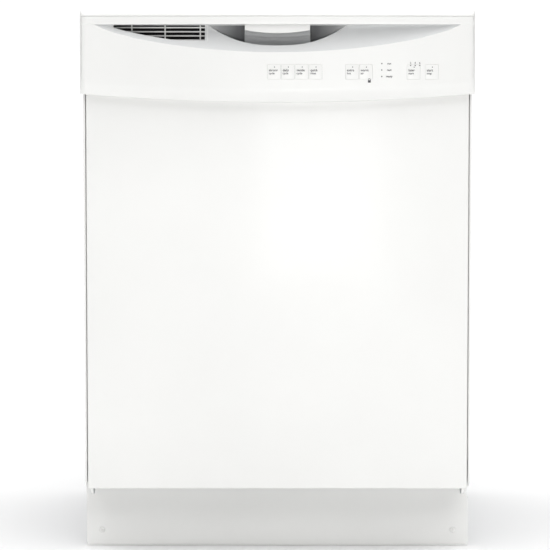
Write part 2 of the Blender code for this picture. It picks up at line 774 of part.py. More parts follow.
def make_door_panels():
    high = (PANEL_X, Y_DOOR + PANEL_RETURN, PANEL_TOP)
    outer = box("outer_door_panel", (-PANEL_X, Y_DOOR, TOE_SPACE), high, "white_enamel")
    skin_low = (-PANEL_X + DOOR_SKIN, Y_DOOR + DOOR_SKIN, TOE_SPACE + DOOR_SKIN)
    cut(outer, box("outer_room", skin_low, (PANEL_X - DOOR_SKIN, Y_LINER, PANEL_TOP + 0.01)))
    hinge_notches(outer)
    low, high, front = TOE_SPACE + 0.002, INNER_TOP, Y_DOOR + SKIRT_BACK
    inner = box("inner_door_panel", (-SKIRT_X, front, low), (SKIRT_X, Y_LINER, high), "tub_plastic")
    room_low = (-SKIRT_X + SKIRT, Y_DOOR, low + SKIRT)
    cut(inner, box("inner_room", room_low, (SKIRT_X - SKIRT, Y_LINER - SKIRT, high - SKIRT)))
    console_room = (-WIDTH, Y_DOOR - 0.05, PANEL_TOP - 0.002)
    cut(inner, box("console_room", console_room, (WIDTH, Y_DOOR + CONSOLE_BACK + SEAT, HEIGHT)))
    x, z_low, z_high = SKIRT_X - LINER_RIM, TOE_SPACE + LINER_RIM, HEIGHT - LINER_RIM - 0.006
    dish_front = Y_LINER - LINER_DISH
    block_low = (-x - SKIRT, dish_front - SKIRT, z_low - SKIRT)
    block_high = (x + SKIRT, Y_LINER - SKIRT / 2, z_high + SKIRT)
    cut(inner, box("dish_block", block_low, block_high), "UNION")
    cut(inner, box("dish", (-x, dish_front, z_low), (x, Y_LINER + 0.01, z_high)))
    cut(inner, box("dispenser_hole", *dispenser_box(SEAT, Y_LINER)))
    wide, high = STRIKE_HALF + STRIKE_ROOM, STRIKE_THICK / 2 + STRIKE_LIFT
    strike_low = (-wide, Y_LINER - 0.01, STRIKE_Z - high)
    cut(inner, box("strike_hole", strike_low, (wide, Y_LINER + 0.01, STRIKE_Z + high)))
    hinge_notches(inner)
    pad_low = (-PANEL_X + 0.012, Y_DOOR + DOOR_SKIN + SEAT, Z_HINGE + NOTCH + 0.002)
    pad_high = (PANEL_X - 0.012, dish_front - SKIRT - SEAT, PANEL_TOP - 0.03)
    pad = box("door_insulation", pad_low, pad_high, "blanket")
    hole_low, hole_high = dispenser_box(0.004, Y_LINER)
    cut(pad, box("dispenser_room", hole_low, hole_high))


def dispenser_box(gap, y_high):
    wide, tall = DISPENSER_WIDE / 2 + gap, DISPENSER_HIGH / 2 + gap
    low = (DISPENSER_X - wide, HOUSING_FACE - DISPENSER_DEEP - gap, DISPENSER_UP - tall)
    return low, (DISPENSER_X + wide, y_high, DISPENSER_UP + tall)


def make_dispenser():
    """Housing in the door's dish, with a spring lid over the detergent cup and a rinse aid cap."""
    low, high = dispenser_box(0.0, HOUSING_FACE)
    housing = box("dispenser_housing", low, high, "grey_plastic")
    face, z, tall = HOUSING_FACE, DISPENSER_UP, LID_HIGH / 2
    left, right = LID_X - LID_WIDE / 2, LID_X + LID_WIDE / 2
    cup_low = (left + CUP_MARGIN, low[1] + 0.002, z - tall + CUP_MARGIN)
    cup_high = (right - CUP_MARGIN, face + 0.01, z + tall - CUP_MARGIN)
    cut(housing, box("detergent_cup", cup_low, cup_high))
    seat_low = (left - RUN, face - LID_THICK - SEAT, z - tall - RUN)
    cut(housing, box("lid_seat", seat_low, (right + RUN, face + 0.01, z + tall + RUN)))
    floor = face - CAP_DEEP
    cap_seat = rod("cap_seat", (CAP_X, floor, z), (CAP_X, face + 0.01, z), CAP_RADIUS + RUN, sides=20)
    cut(housing, cap_seat)
    lid_high = (right, face, z + tall)
    lid = box("dispenser_lid", (left, face - LID_THICK, z - tall), lid_high, "grey_plastic")
    ends = [(x, face, LID_HINGE_Z) for x in (left, right)]
    cut(lid, rod("lid_barrel", *ends, LID_BARREL, sides=10), "UNION")
    ends = [(CAP_X, floor + SEAT, z), (CAP_X, face + CAP_DEEP / 2, z)]
    cap = rod("rinse_aid_cap", *ends, CAP_RADIUS, "blue_plastic", sides=20)
    grip = Vector((CAP_RADIUS * 0.8, GRIP_HIGH / 2, GRIP_HIGH / 2))
    middle = Vector((CAP_X, face + GRIP_HIGH, z))
    cut(cap, box("cap_grip", middle - grip, middle + grip), "UNION")


def make_hinges():
    """Hinge arms on the door, each with a sector that winds up its spring's cable."""
    strap_in, strap_out = BRACKET_X - SEAT - ARM_PLATE, BRACKET_X - SEAT
    for side, word in ((-1, "left"), (1, "right")):
        near, far = sorted((side * strap_in, side * strap_out))
        strap = ((near, Y_HINGE - 0.010, Z_HINGE), (far, Y_HINGE + 0.010, Z_HINGE + ARM_LONG))
        inner = side * (strap_in - SECTOR_THICK)
        outer = side * (strap_in + ARM_PLATE / 2)
        disc = ((inner, Y_HINGE, Z_HINGE), (outer, Y_HINGE, Z_HINGE), SECTOR, 28)
        arm = joined("hinge_arm_" + word, "galvanised", [strap], [disc])
        ends = [(x, Y_HINGE, Z_HINGE) for x in (inner - side * 0.01, outer + side * 0.01)]
        cut(arm, rod("arm_hole_" + word, *ends, PIVOT_PIN + SEAT, sides=16))
        make_spring(word, inner + side * (CABLE_RADIUS + 0.0001), Z_SPRING)


def make_spring(word, x, z):
    """A cable that leaves the sector's top, and the coil spring that it pulls, as one ribbed bar."""
    cable_end = Y_MOUTH + CABLE_LONG
    spring_end = cable_end + SPRING_LONG
    profile = [(0.0, Y_HINGE), (CABLE_RADIUS, Y_HINGE), (CABLE_RADIUS, cable_end - 0.004)]
    profile.append((SPRING_CORE, cable_end))
    pitch = SPRING_LONG / SPRING_RIBS
    for i in range(SPRING_RIBS):
        profile.append((SPRING_RADIUS, cable_end + (i + 0.5) * pitch))
        profile.append((SPRING_CORE, cable_end + (i + 1.0) * pitch))
    tail = spring_end + SPRING_TAIL
    profile += [(SPRING_WIRE, spring_end + 0.004), (SPRING_WIRE, tail), (0.0, tail)]
    flipped = [(radius, -y) for radius, y in profile]
    turned("door_spring_" + word, flipped, (x, 0.0, z), "galvanised", axis="-Y", steps=8)


# ---------------------------------------------------------------- tub, frame and base
def make_tub():
    low, high = (-TUB_X, Y_MOUTH, TUB_FLOOR), (TUB_X, TUB_BACK, TUB_TOP)
    tub = box("tub", low, high, "tub_plastic")
    flange_x, flange_top = TUB_X + TUB_FLANGE, TUB_TOP + TUB_FLANGE
    flange_high = (flange_x, Y_MOUTH + TUB_WALL, flange_top)
    cut(tub, box("mouth_flange", (-flange_x, Y_MOUTH, TUB_FLOOR), flange_high), "UNION")
    inner_low = (-TUB_IN, Y_MOUTH - 0.01, FLOOR_IN + TUB_LIP)
    cut(tub, box("tub_mouth", inner_low, (TUB_IN, Y_MOUTH + 0.02, TUB_TOP - TUB_WALL)))
    inner_low = (-TUB_IN, Y_MOUTH + TUB_WALL, FLOOR_IN)
    cut(tub, box("tub_room", inner_low, (TUB_IN, TUB_BACK - TUB_WALL, TUB_TOP - TUB_WALL)))
    ledges = bmesh.new()
    for side in (-1, 1):
        xs = sorted((side * (TUB_IN - LEDGE_WIDE), side * (TUB_IN + 0.001)))
        add_box(ledges, (xs[0], Y_MOUTH + 0.001, FLOOR_IN - 0.001), (xs[1], TUB_BACK - 0.001, LEDGE_TOP))
    cut(tub, from_bmesh("wheel_ledges", ledges), "UNION")
    under, over = TUB_FLOOR - 0.02, FLOOR_IN + 0.02
    sump_hole = rod("sump_hole", (0, ARM_Y, under), (0, ARM_Y, over), SUMP_RADIUS - SUMP_LAP, sides=32)
    cut(tub, sump_hole)
    holes = bmesh.new()
    add_rod(holes, (0, CONDUIT_Y, under), (0, CONDUIT_Y, over), CONDUIT + SEAT, 16)
    for side in (-1, 1):
        place = heater_end(side)
        add_rod(holes, (*place, under), (*place, over), HEATER_ROD + SEAT, 12)
    add_rod(holes, (FLOAT_X, FLOAT_Y, under), (FLOAT_X, FLOAT_Y, over), FLOAT_STEM + RUN, 12)
    cut(tub, from_bmesh("floor_holes", holes))


def heater_end(side):
    return (side * HEATER_END_X, Y_MOUTH + 0.075)


def make_gasket():
    """The door seal: a soft tube round the mouth's sides and top."""
    x, top = TUB_X - 0.001, TUB_TOP - 0.001
    y = Y_MOUTH - SEAT - GASKET_RADIUS
    points = [(-x, y, FLOOR_IN + TUB_LIP)]
    for side, start, end in ((-1, 180, 90), (1, 90, 0)):
        for a, b in arc((side * (x - GASKET_BEND), top - GASKET_BEND), GASKET_BEND, start, end, 6):
            points.append((a, y, b))
    points.append((x, y, FLOOR_IN + TUB_LIP))
    tube("tub_gasket", points, GASKET_RADIUS, "rubber")


def make_tub_frame():
    """The steel strap round the tub's mouth, which stands on the base and carries the brackets."""
    y_low = Y_MOUTH + TUB_WALL + SEAT
    y_high = y_low + FRAME_DEEP
    top = TUB_TOP + TUB_FLANGE + 0.008
    boxes = []
    for side in (-1, 1):
        xs = sorted((side * (FRAME_X - SHEET), side * FRAME_X))
        boxes.append(((xs[0], y_low, BASE_HIGH + SEAT), (xs[1], y_high, top)))
        xs = sorted((side * (TUB_X + SEAT), side * FRAME_X))
        boxes.append(((xs[0], y_low, BASE_HIGH + 0.060), (xs[1], y_low + SHEET, top)))
    boxes.append(((-FRAME_X, y_low, top - SHEET), (FRAME_X, y_high, top)))
    boxes.append(((-FRAME_X, y_low, TUB_TOP + SEAT), (FRAME_X, y_low + SHEET, top)))
    for side in (-1, 1):
        x = side * HALF * 0.62
        tab_low = (x - TOP_TAB_HALF, y_low - TOP_TAB_OUT, top - SHEET)
        boxes.append((tab_low, (x + TOP_TAB_HALF, y_high, top)))
    joined("tub_frame", "galvanised", boxes)


def make_strike():
    """A tongue under the tub's ceiling that the latch in the door closes on."""
    z, ceiling = STRIKE_Z, TUB_TOP - TUB_WALL - SEAT
    y = Y_MOUTH + 0.001
    half, thick = STRIKE_HALF, STRIKE_THICK / 2
    plate = ((-half, y, ceiling - SHEET), (half, y + 0.030, ceiling))
    stem = ((-half, y, z - thick), (half, y + SHEET, ceiling))
    tongue = ((-half, Y_LINER - 0.022, z - thick), (half, y + SHEET / 2, z + thick))
    joined("door_strike", "stainless", [plate, stem, tongue])


def make_blanket():
    """The sound blanket over the tub's sides and top."""
    y_low = Y_MOUTH + TUB_WALL + SEAT + SHEET + SEAT
    in_x, top = TUB_X + SEAT, TUB_TOP + SEAT
    z_low, back = TUB_FLOOR + BLANKET_UP, TUB_BACK + SEAT
    high = (in_x + BLANKET, back + BLANKET, top + BLANKET)
    blanket = box("insulation_blanket", (-in_x - BLANKET, y_low, z_low), high, "blanket")
    cut(blanket, box("tub_space", (-in_x, y_low - 0.01, z_low - 0.01), (in_x, back, top)))


def make_base():
    """Two side rails, cross members and foot flanges in galvanised steel."""
    boxes = []
    for side in (-1, 1):
        xs = sorted((side * (FRAME_X - SHEET), side * FRAME_X))
        boxes.append(((xs[0], Y_BASE, BASE_LOW), (xs[1], Y_BACK, BASE_HIGH)))
        xs = sorted((side * (FRAME_X - BASE_FLANGE), side * FRAME_X))
        boxes.append(((xs[0], Y_BASE, BASE_LOW), (xs[1], Y_BACK, BASE_LOW + SHEET)))
    for y in (Y_BASE, Y_BACK - SHEET):
        boxes.append(((-FRAME_X, y, BASE_LOW), (FRAME_X, y + SHEET, BASE_LOW + CROSS_HIGH)))
    boxes.append(((-FRAME_X, Y_BACK - SHEET, BASE_HIGH - 0.020), (FRAME_X, Y_BACK, BASE_HIGH)))
    rods = []
    for side in (-1, 1):
        boxes += hinge_bracket(side) + toe_tab(side)
        pin_end = BRACKET_X - SEAT - ARM_PLATE - SECTOR_THICK - SEAT
        ends = [(side * x, Y_HINGE, Z_HINGE) for x in (BRACKET_X + 0.001, pin_end)]
        rods.append((*ends, PIVOT_PIN, 16))
    frame = joined("base_frame", "galvanised", boxes, rods)
    holes = bmesh.new()
    for x, y in leg_places():
        add_rod(holes, (x, y, 0), (x, y, 0.06), LEG_STUD + SEAT, 12)
    for side in (-1, 1):
        ends = [(side * TOE_SCREW_X, y, TOE_SCREW_Z) for y in (Y_DOOR, Y_BASE - SEAT)]
        add_rod(holes, *ends, TOE_SCREW_HOLE, 12)
    cut(frame, from_bmesh("stud_holes", holes))


def hinge_bracket(side):
    """Plates that carry the door's pivot pin, and the tab that holds the spring's tail."""
    hook_y = Y_MOUTH + CABLE_LONG + SPRING_LONG + SPRING_TAIL + SEAT
    xs = sorted((side * (BRACKET_X - 0.008), side * FRAME_X))
    hook = ((xs[0], hook_y, BASE_HIGH - 0.010), (xs[1], hook_y + SHEET, Z_SPRING + SPRING_RADIUS))
    near, far = sorted((side * BRACKET_X, side * (BRACKET_X + ARM_PLATE)))
    plate_high = (far, Y_MOUTH + TUB_WALL - SEAT, Z_HINGE + HINGE_PLATE)
    plate = ((near, Y_HINGE - 0.010, Z_HINGE - HINGE_PLATE), plate_high)
    foot = ((near, Y_BASE - 0.006, TOE_SPACE), (far, Y_BASE + 0.052, BASE_HIGH))
    web = ((near, Y_BASE, BASE_HIGH - 0.030), (far, Y_BASE + 0.052, BASE_HIGH))
    return [hook, plate, foot, web]


def toe_tab(side):
    """The tab that the toe kick's screw goes into."""
    x, y, top = side * TOE_SCREW_X, Y_TOE + SHEET + SEAT, BASE_LOW + 0.026
    near, far = x - TOE_TAB_HALF, x + TOE_TAB_HALF
    plate = ((near, y, TOE_SCREW_Z - TOE_TAB_HALF), (far, y + SHEET, top))
    return [plate, ((near, y, top - 0.006), (far, Y_BASE + SHEET / 2, top))]


def leg_places():
    x = FRAME_X - BASE_FLANGE / 2
    front, back = Y_TOE + 0.045, Y_BACK - 0.035
    return [(side * x, y) for y in (front, back) for side in (-1, 1)]


def make_legs():
    names = ("front_left", "front_right", "rear_left", "rear_right")
    nut, nut_top = LEG_STUD * 1.9, BASE_LOW - SEAT
    nut_low = nut_top - LEG_NUT_HIGH
    for word, (x, y) in zip(names, leg_places()):
        profile = [(0, LEG_TOP), (LEG_STUD, LEG_TOP), (LEG_STUD, nut_top), (nut, nut_top)]
        profile += [(nut, nut_low), (LEG_STUD, nut_low), (LEG_STUD, LEG_FOOT_HIGH)]
        profile += [(LEG_FOOT * 0.8, LEG_FOOT_HIGH), (LEG_FOOT, LEG_FOOT_HIGH * 0.6)]
        profile += [(LEG_FOOT, 0.0), (0, 0.0)]
        turned("levelling_leg_" + word, profile, (x, y, 0.0), "galvanised", steps=12)


def make_toe_kick():
    y, low, top, half = Y_TOE, TOE_CLEAR, TOE_SPACE - 0.002, HALF
    outline = arc((-half + TOE_CORNER, low + TOE_CORNER), TOE_CORNER, 180, 270, 4)
    outline += arc((half - TOE_CORNER, low + TOE_CORNER), TOE_CORNER, 270, 360, 4)
    outline += [(half, top - TOE_NOTCH_HIGH - 0.002), (half - TOE_NOTCH, top - TOE_NOTCH_HIGH)]
    outline += [(half - TOE_NOTCH, top), (-half, top)]
    plate = prism("toe_kick", outline, y, y + SHEET, "white_enamel")
    shelf_low = (-half + 0.006, y + SHEET / 2, top - SHEET)
    cut(plate, box("toe_shelf", shelf_low, (half - 0.006, y + 0.0065, top)), "UNION")
    head = TOE_SCREW_HEAD
    profile = [(0, 0.0018), (head * 0.6, 0.0016), (head, 0.0004), (head, 0.0)]
    profile += [(0.0020, 0.0), (0.0020, -0.0100), (0, -0.0100)]
    for side, word in ((-1, "left"), (1, "right")):
        x, z = side * TOE_SCREW_X, TOE_SCREW_Z
        ends = [(x, y - 0.01, z), (x, y + 0.01, z)]
        cut(plate, rod("screw_hole_" + word, *ends, TOE_SCREW_HOLE, sides=12))
        turned("toe_screw_" + word, profile, (x, y - SEAT, z), "white_enamel", axis="-Y", steps=12)


# ---------------------------------------------------------------- wash system
def make_sump():
    """The sump under the tub's floor, with its well and the outlet that feeds the riser."""
    deck = TUB_FLOOR - SEAT
    low, outlet_z = SUMP_LOW, deck - OUTLET_DROP
    saddle_high = (0.030, ARM_Y + SUMP_RADIUS + 0.020, low + 0.034)
    boxes = [((-0.030, ARM_Y, low + 0.006), saddle_high)]
    rods = [((0, ARM_Y, outlet_z), (0, CONDUIT_Y + CONDUIT, outlet_z), CONDUIT, 14)]
    rods.append(((0, ARM_Y, deck - SUMP_RIM), (0, ARM_Y, deck), SUMP_RADIUS, 32))
    cone = ((0, ARM_Y, low), (0, ARM_Y, deck - SUMP_RIM + 0.002), SUMP_RADIUS * 0.55)
    rods.append((*cone, 24, SUMP_RADIUS * 0.9))
    sump = joined("sump", "dark_plastic", boxes, rods)
    ends = [(0, ARM_Y, low + 0.010), (0, ARM_Y, deck + 0.01)]
    wide = SUMP_RADIUS - 0.014
    cut(sump, rod("sump_well", *ends, SUMP_RADIUS * 0.45, sides=24, end_radius=wide))
    ends = [(0, CONDUIT_Y, outlet_z), (0, CONDUIT_Y, deck + 0.01)]
    cut(sump, rod("outlet_bore", *ends, CONDUIT * 0.6, sides=12))


def make_motor():
    """The circulation motor lies along X under the tub, and its pump neck meets the sump."""
    y, z = ARM_Y + 0.020, MOTOR_RADIUS + 0.012
    end = -SUMP_RADIUS * 0.87
    start, neck = end - MOTOR_LONG, -0.036
    plug_high = (end - 0.020, y + MOTOR_NECK, z + MOTOR_RADIUS + 0.004)
    plug = ((start + 0.020, y - MOTOR_NECK, z), plug_high)
    rods = [((start, y, z), (end, y, z), MOTOR_RADIUS, 24)]
    rods.append(((end - 0.010, y, z), (neck + 0.006, y, z), MOTOR_NECK, 16))
    rods.append(((neck, y, z), (neck, y, SUMP_LOW - SEAT), 0.012, 16))
    joined("wash_motor", "stainless", [plug], rods)


def make_drain_pump():
    """The drain pump under the sump's rim, with its outlet towards the back."""
    x, low, top = SUMP_RADIUS * 0.72, SUMP_LOW - 0.006, TUB_FLOOR - SUMP_RIM - 2 * SEAT
    near = x + 0.012
    boxes = [((near, ARM_Y - PUMP_HALF, low), (near + PUMP_WIDE, ARM_Y + PUMP_HALF, top))]
    z = (low + top) / 2
    rods = [((x + 0.002, ARM_Y, z), (x + 0.075, ARM_Y, z), PUMP_HALF / 2, 18)]
    ends = [(x + 0.045, y, z - 0.002) for y in (ARM_Y, ARM_Y + 0.075)]
    rods.append((*ends, 0.009, 12))
    pump = joined("drain_pump", "dark_plastic", boxes, rods)
    room = rod("pump_sump_room", (0, ARM_Y, 0), (0, ARM_Y, TUB_FLOOR), SUMP_RADIUS * 0.9, sides=24)
    cut(pump, room)


def make_filter():
    base = FLOOR_IN + 0.0005
    top = FLOOR_IN + LOWER_ARM_UP + ARM_THICK
    shoulder = FLOOR_IN + LOWER_ARM_UP - RUN
    profile = [(0, top + 0.004), (POST_RADIUS * 1.5, top + 0.003), (POST_RADIUS * 1.5, top + RUN)]
    profile += [(POST_RADIUS, top + RUN), (POST_RADIUS, shoulder), (0.020, shoulder), (0.024, base + 0.012)]
    rim, skirt, plug = FILTER_RADIUS, FILTER_RADIUS - 0.004, 0.030
    profile += [(rim * 0.62, base + 0.006), (rim, base + 0.003), (rim, TUB_FLOOR)]
    profile += [(skirt, TUB_FLOOR), (skirt, base - 0.001), (plug, base - 0.001)]
    profile += [(plug, base - 0.022), (0, base - 0.022)]
    turned("sump_filter", profile, (0, ARM_Y, 0), "grey_plastic", steps=20)


def make_conduit():
    """The feed tube up the tub's back and along its ceiling, with the top spray head."""
    y, top = CONDUIT_Y, TUB_TOP - TUB_WALL - CONDUIT - CONDUIT_GAP
    low, bend = TUB_FLOOR - OUTLET_DROP + CONDUIT, CONDUIT_BEND
    points = [(0, y, low)]
    points += [(0, a, b) for a, b in arc((y - bend, top - bend), bend, 0, 90, 6)]
    points.append((0, ARM_Y - 0.006, top))
    pipe = tube("feed_tube", points, CONDUIT, "grey_plastic", sides=3)
    evaluated = pipe.evaluated_get(bpy.context.evaluated_depsgraph_get())
    mesh = bpy.data.meshes.new_from_object(evaluated)
    merged = bmesh.new()
    merged.from_mesh(mesh)
    bmesh.ops.remove_doubles(merged, verts=merged.verts, dist=0.00005)
    bpy.data.objects.remove(pipe)
    solid = from_bmesh("spray_conduit", merged, "grey_plastic")
    extra = bmesh.new()
    dock = UPPER_Z - DOCK_DROP
    add_rod(extra, (0, y, dock), (0, FEED_BACK + RUN, dock), CONDUIT * 0.8, 14)
    add_rod(extra, (0, ARM_Y, top - CONDUIT - 0.012), (0, ARM_Y, top), TOP_HEAD, 20)
    cut(solid, from_bmesh("conduit_heads", extra), "UNION", own=True)


def make_heater():
    """The heating element: one rod that rises from the floor and loops round the sump."""
    z, corner = FLOOR_IN + HEATER_UP, HEATER_BEND
    front, back = Y_MOUTH + 0.100, ARM_Y + 0.185
    x_end, y_end = heater_end(-1)
    left = [(x_end, y_end, TUB_FLOOR - 0.012), (x_end, y_end, z - 0.008)]
    left += [(x_end - 0.003, y_end + 0.006, z), (x_end - 0.020, front, z)]
    for middle, start, end in ((front + corner, 270, 180), (back - corner, 180, 90)):
        bend = arc((-HEATER_HALF + corner, middle), corner, start, end, 5)
        left += [(a, b, z) for a, b in bend]
    right = [(-x, y, place) for x, y, place in reversed(left)]
    tube("heater_element", left + right, HEATER_ROD, "stainless", sides=2)


def make_float():
    """The float's dome, on a stem that passes through the tub's floor."""
    base, dome, stem = FLOOR_IN + 0.0006, FLOAT_RADIUS, FLOAT_STEM
    top, half = base + FLOAT_HIGH, base + FLOAT_HIGH / 2
    profile = [(0, top), (dome * 0.55, top - 0.002), (dome * 0.9, top - 0.009), (dome, half)]
    profile += [(dome, base), (dome - 0.002, base), (dome - 0.002, half), (stem, half + 0.002)]
    profile += [(stem, TUB_FLOOR - 0.016), (0, TUB_FLOOR - 0.016)]
    turned("float_cap", profile, (FLOAT_X, FLOAT_Y, 0), "grey_plastic", steps=16)


def spray_arm(name, low, finish):
    """A hollow-looking two-bladed arm whose blades taper and thin towards their tips."""
    sections = []
    for share in (-1.0, -0.93, -0.5, -0.12, 0.12, 0.5, 0.93, 1.0):
        taper = 1.0 - 0.35 * abs(share)
        wide = ARM_WIDE / 2 * taper * (0.55 if abs(share) == 1.0 else 1.0)
        thick = ARM_THICK * (1.0 - 0.4 * abs(share)) / 2
        x, middle = ARM_HALF * share, low + ARM_THICK / 2
        ring = [(-wide, 0.3), (-wide * 0.6, 1.0), (wide * 0.6, 1.0), (wide, 0.3)]
        ring += [(wide, -0.5), (wide * 0.6, -1.0), (-wide * 0.6, -1.0), (-wide, -0.5)]
        sections.append([(x, ARM_Y + a, middle + thick * b) for a, b in ring])
    arm = loft(name, sections, finish)
    ends = [(0, ARM_Y, low + 0.0002), (0, ARM_Y, low + ARM_THICK - 0.0002)]
    cut(arm, rod(name + "_hub", *ends, ARM_HUB, sides=24), "UNION")
    ends = [(0, ARM_Y, low - 0.01), (0, ARM_Y, low + 0.03)]
    cut(arm, rod(name + "_bore", *ends, POST_RADIUS + RUN, sides=20))


# ---------------------------------------------------------------- racks
def wire_basket(half_x, front, back, low, high, long_wires, cross_wires):
    """Square wires of an open basket: hoops both ways and two rings round its walls."""
    half, inset = WIRE / 2, WIRE_INSET
    boxes = []
    for i in range(long_wires):
        x = (half_x - inset) * (2 * i / (long_wires - 1) - 1)
        boxes.append(((x - half, front, low), (x + half, back, low + WIRE)))
        for y in (front, back - WIRE):
            boxes.append(((x - half, y, low), (x + half, y + WIRE, high - half)))
    for i in range(cross_wires):
        y = front + inset + (back - front - 2 * inset) * i / (cross_wires - 1)
        boxes.append(((-half_x, y - half, low + half), (half_x, y + half, low + half + WIRE)))
        for side in (-1, 1):
            xs = sorted((side * half_x, side * (half_x - WIRE)))
            boxes.append(((xs[0], y - half, low + half), (xs[1], y + half, high - half)))
    for z in (high - WIRE, low + (high - low) * 0.5):
        for y in (front - half, back - half):
            boxes.append(((-half_x - half, y, z), (half_x + half, y + WIRE, z + WIRE)))
        for side in (-1, 1):
            xs = sorted((side * (half_x - half), side * (half_x + half)))
            boxes.append(((xs[0], front - half, z), (xs[1], back + half, z + WIRE)))
    return boxes


def make_lower_rack():
    top = LOWER_Z + LOWER_HIGH
    boxes = wire_basket(LOWER_X, RACK_FRONT, RACK_BACK, LOWER_Z, top, 4, 4)
    rods = []
    z, wheel_in, wheel_out = AXLE_Z, LOWER_X + WHEEL_GAP, LOWER_X + WHEEL_GAP + WHEEL_WIDE
    for side in (-1, 1):
        for y in wheel_places():
            xs = sorted((side * (LOWER_X - 0.006), side * (LOWER_X + 0.002)))
            hanger_low = (xs[0], y - HANGER_HALF, z - 0.006)
            boxes.append((hanger_low, (xs[1], y + HANGER_HALF, (LOWER_Z + top + WIRE) / 2)))
            ends = [(side * x, y, z) for x in (LOWER_X - 0.002, wheel_out + 0.0015)]
            rods.append((*ends, WHEEL_AXLE, 12))
    joined("lower_rack", "rack_vinyl", boxes, rods)
    for side, word in ((-1, "left"), (1, "right")):
        for y, end in zip(wheel_places(), ("front", "rear")):
            ends = [(side * x, y, z) for x in (wheel_in, wheel_out)]
            wheel = rod(f"lower_wheel_{end}_{word}", *ends, WHEEL_RADIUS, "grey_plastic", sides=24)
            ends = [(side * x, y, z) for x in (wheel_in - 0.01, wheel_out + 0.01)]
            bore = rod(f"axle_bore_{end}_{word}", *ends, WHEEL_AXLE + RUN / 2, sides=12)
            cut(wheel, bore)


def wheel_places():
    return (RACK_FRONT + WHEEL_IN, RACK_BACK - WHEEL_IN)


def make_upper_rack():
    boxes = wire_basket(UPPER_X, RACK_FRONT, RACK_BACK - 0.010, UPPER_Z, UPPER_Z + UPPER_HIGH, 5, 3)
    rail_z, groove = UPPER_Z + RAIL_UP, RAIL_WALL + RUN
    for side in (-1, 1):
        xs = sorted((side * (UPPER_X - 0.002), side * (RAIL_X + RAIL_WIDE - groove)))
        runner_low = (xs[0], RACK_FRONT + RUNNER_FRONT, rail_z + groove)
        boxes.append((runner_low, (xs[1], RACK_BACK - RUNNER_BACK, rail_z + RAIL_HIGH - groove)))
    feed_z = UPPER_Z - DOCK_DROP
    feed_low = (-FEED_HALF, ARM_Y - 0.014, feed_z - 0.006)
    boxes.append((feed_low, (FEED_HALF, FEED_BACK, feed_z + 0.013)))
    arm_top = feed_z - 0.006 - RUN
    arm_low = arm_top - ARM_THICK
    foot = (0, ARM_Y, arm_low - 0.006)
    rods = [(foot, (0, ARM_Y, feed_z), POST_RADIUS, 20)]
    rods.append((foot, (0, ARM_Y, arm_low - RUN), POST_RADIUS * 1.6, 20))
    joined("upper_rack", "rack_vinyl", boxes, rods)
    spray_arm("upper_spray_arm", arm_low, "grey_plastic")
    for side, word in ((-1, "left"), (1, "right")):
        make_rails(word, side, rail_z)


def make_rails(word, side, low):
    """A moving rail that the rack's runner slides in, and the fixed guide that the rail slides in."""
    near, far, top = RAIL_X, RAIL_X + RAIL_WIDE, low + RAIL_HIGH
    xs = sorted((side * near, side * far))
    rail_low = (xs[0], RACK_FRONT + WIRE, low)
    rail = box("upper_rail_" + word, rail_low, (xs[1], RACK_BACK, top), "stainless")
    deep = sorted((side * (near - 0.001), side * (far - RAIL_WALL)))
    groove_low = (deep[0], RACK_FRONT - 0.01, low + RAIL_WALL)
    groove_high = (deep[1], RACK_BACK - RAIL_WALL, top - RAIL_WALL)
    cut(rail, box("rail_groove_" + word, groove_low, groove_high))
    xs = sorted((side * (near + RAIL_WALL), side * (TUB_IN - SEAT)))
    front, back, wall = Y_MOUTH + 0.030, RACK_BACK + 0.020, RAIL_WALL + RUN
    guide_low, guide_high = (xs[0], front, low - wall), (xs[1], back, top + wall)
    guide = box("rack_guide_" + word, guide_low, guide_high, "grey_plastic")
    deep = sorted((side * (near - 0.001), side * (far + RUN)))
    groove_high = (deep[1], back - RAIL_WALL, top + RUN)
    cut(guide, box("guide_groove_" + word, (deep[0], front - 0.01, low - RUN), groove_high))


def make_cutlery_basket():
    x_high, back = LOWER_X - WIRE_INSET, RACK_BACK - BASKET_BACK_GAP
    low = (x_high - BASKET_WIDE, back - BASKET_LONG, LOWER_Z + WIRE * 1.5 + SEAT)
    high = (x_high, back, low[2] + BASKET_HIGH)
    basket = box("cutlery_basket", low, high, "grey_plastic")
    cells = bmesh.new()
    across, along = 2, 3
    wide = (BASKET_WIDE - BASKET_WALL * (across + 1)) / across
    long = (BASKET_LONG - BASKET_WALL * (along + 1)) / along
    for i in range(across):
        for j in range(along):
            x = low[0] + BASKET_WALL + i * (wide + BASKET_WALL)
            y = low[1] + BASKET_WALL + j * (long + BASKET_WALL)
            add_box(cells, (x, y, low[2] + BASKET_WALL), (x + wide, y + long, high[2] + 0.01))
    cut(basket, from_bmesh("basket_cells", cells))


# ---------------------------------------------------------------- services in the base
def make_services():
    """The water inlet valve at the left and the junction box at the right, behind the toe kick."""
    y, z = Y_BASE + SHEET + SEAT, BASE_LOW + SEAT
    x = -HALF + VALVE_IN
    body = ((x - VALVE_HALF, y, z), (x + VALVE_HALF, y + 0.045, z + 0.034))
    coil = ((x, y + 0.022, z + 0.030), (x, y + 0.022, z + 0.062), 0.012, 16)
    inlet = ((x, y + 0.020, z + 0.017), (x, y + 0.075, z + 0.017), 0.010, 16)
    joined("inlet_valve", "dark_plastic", [body], [coil, inlet])
    x = HALF - JUNCTION_IN
    high = (x + JUNCTION_HALF, y + JUNCTION_LONG, z + JUNCTION_HIGH)
    box("junction_box", (x - JUNCTION_HALF, y, z), high, "galvanised")


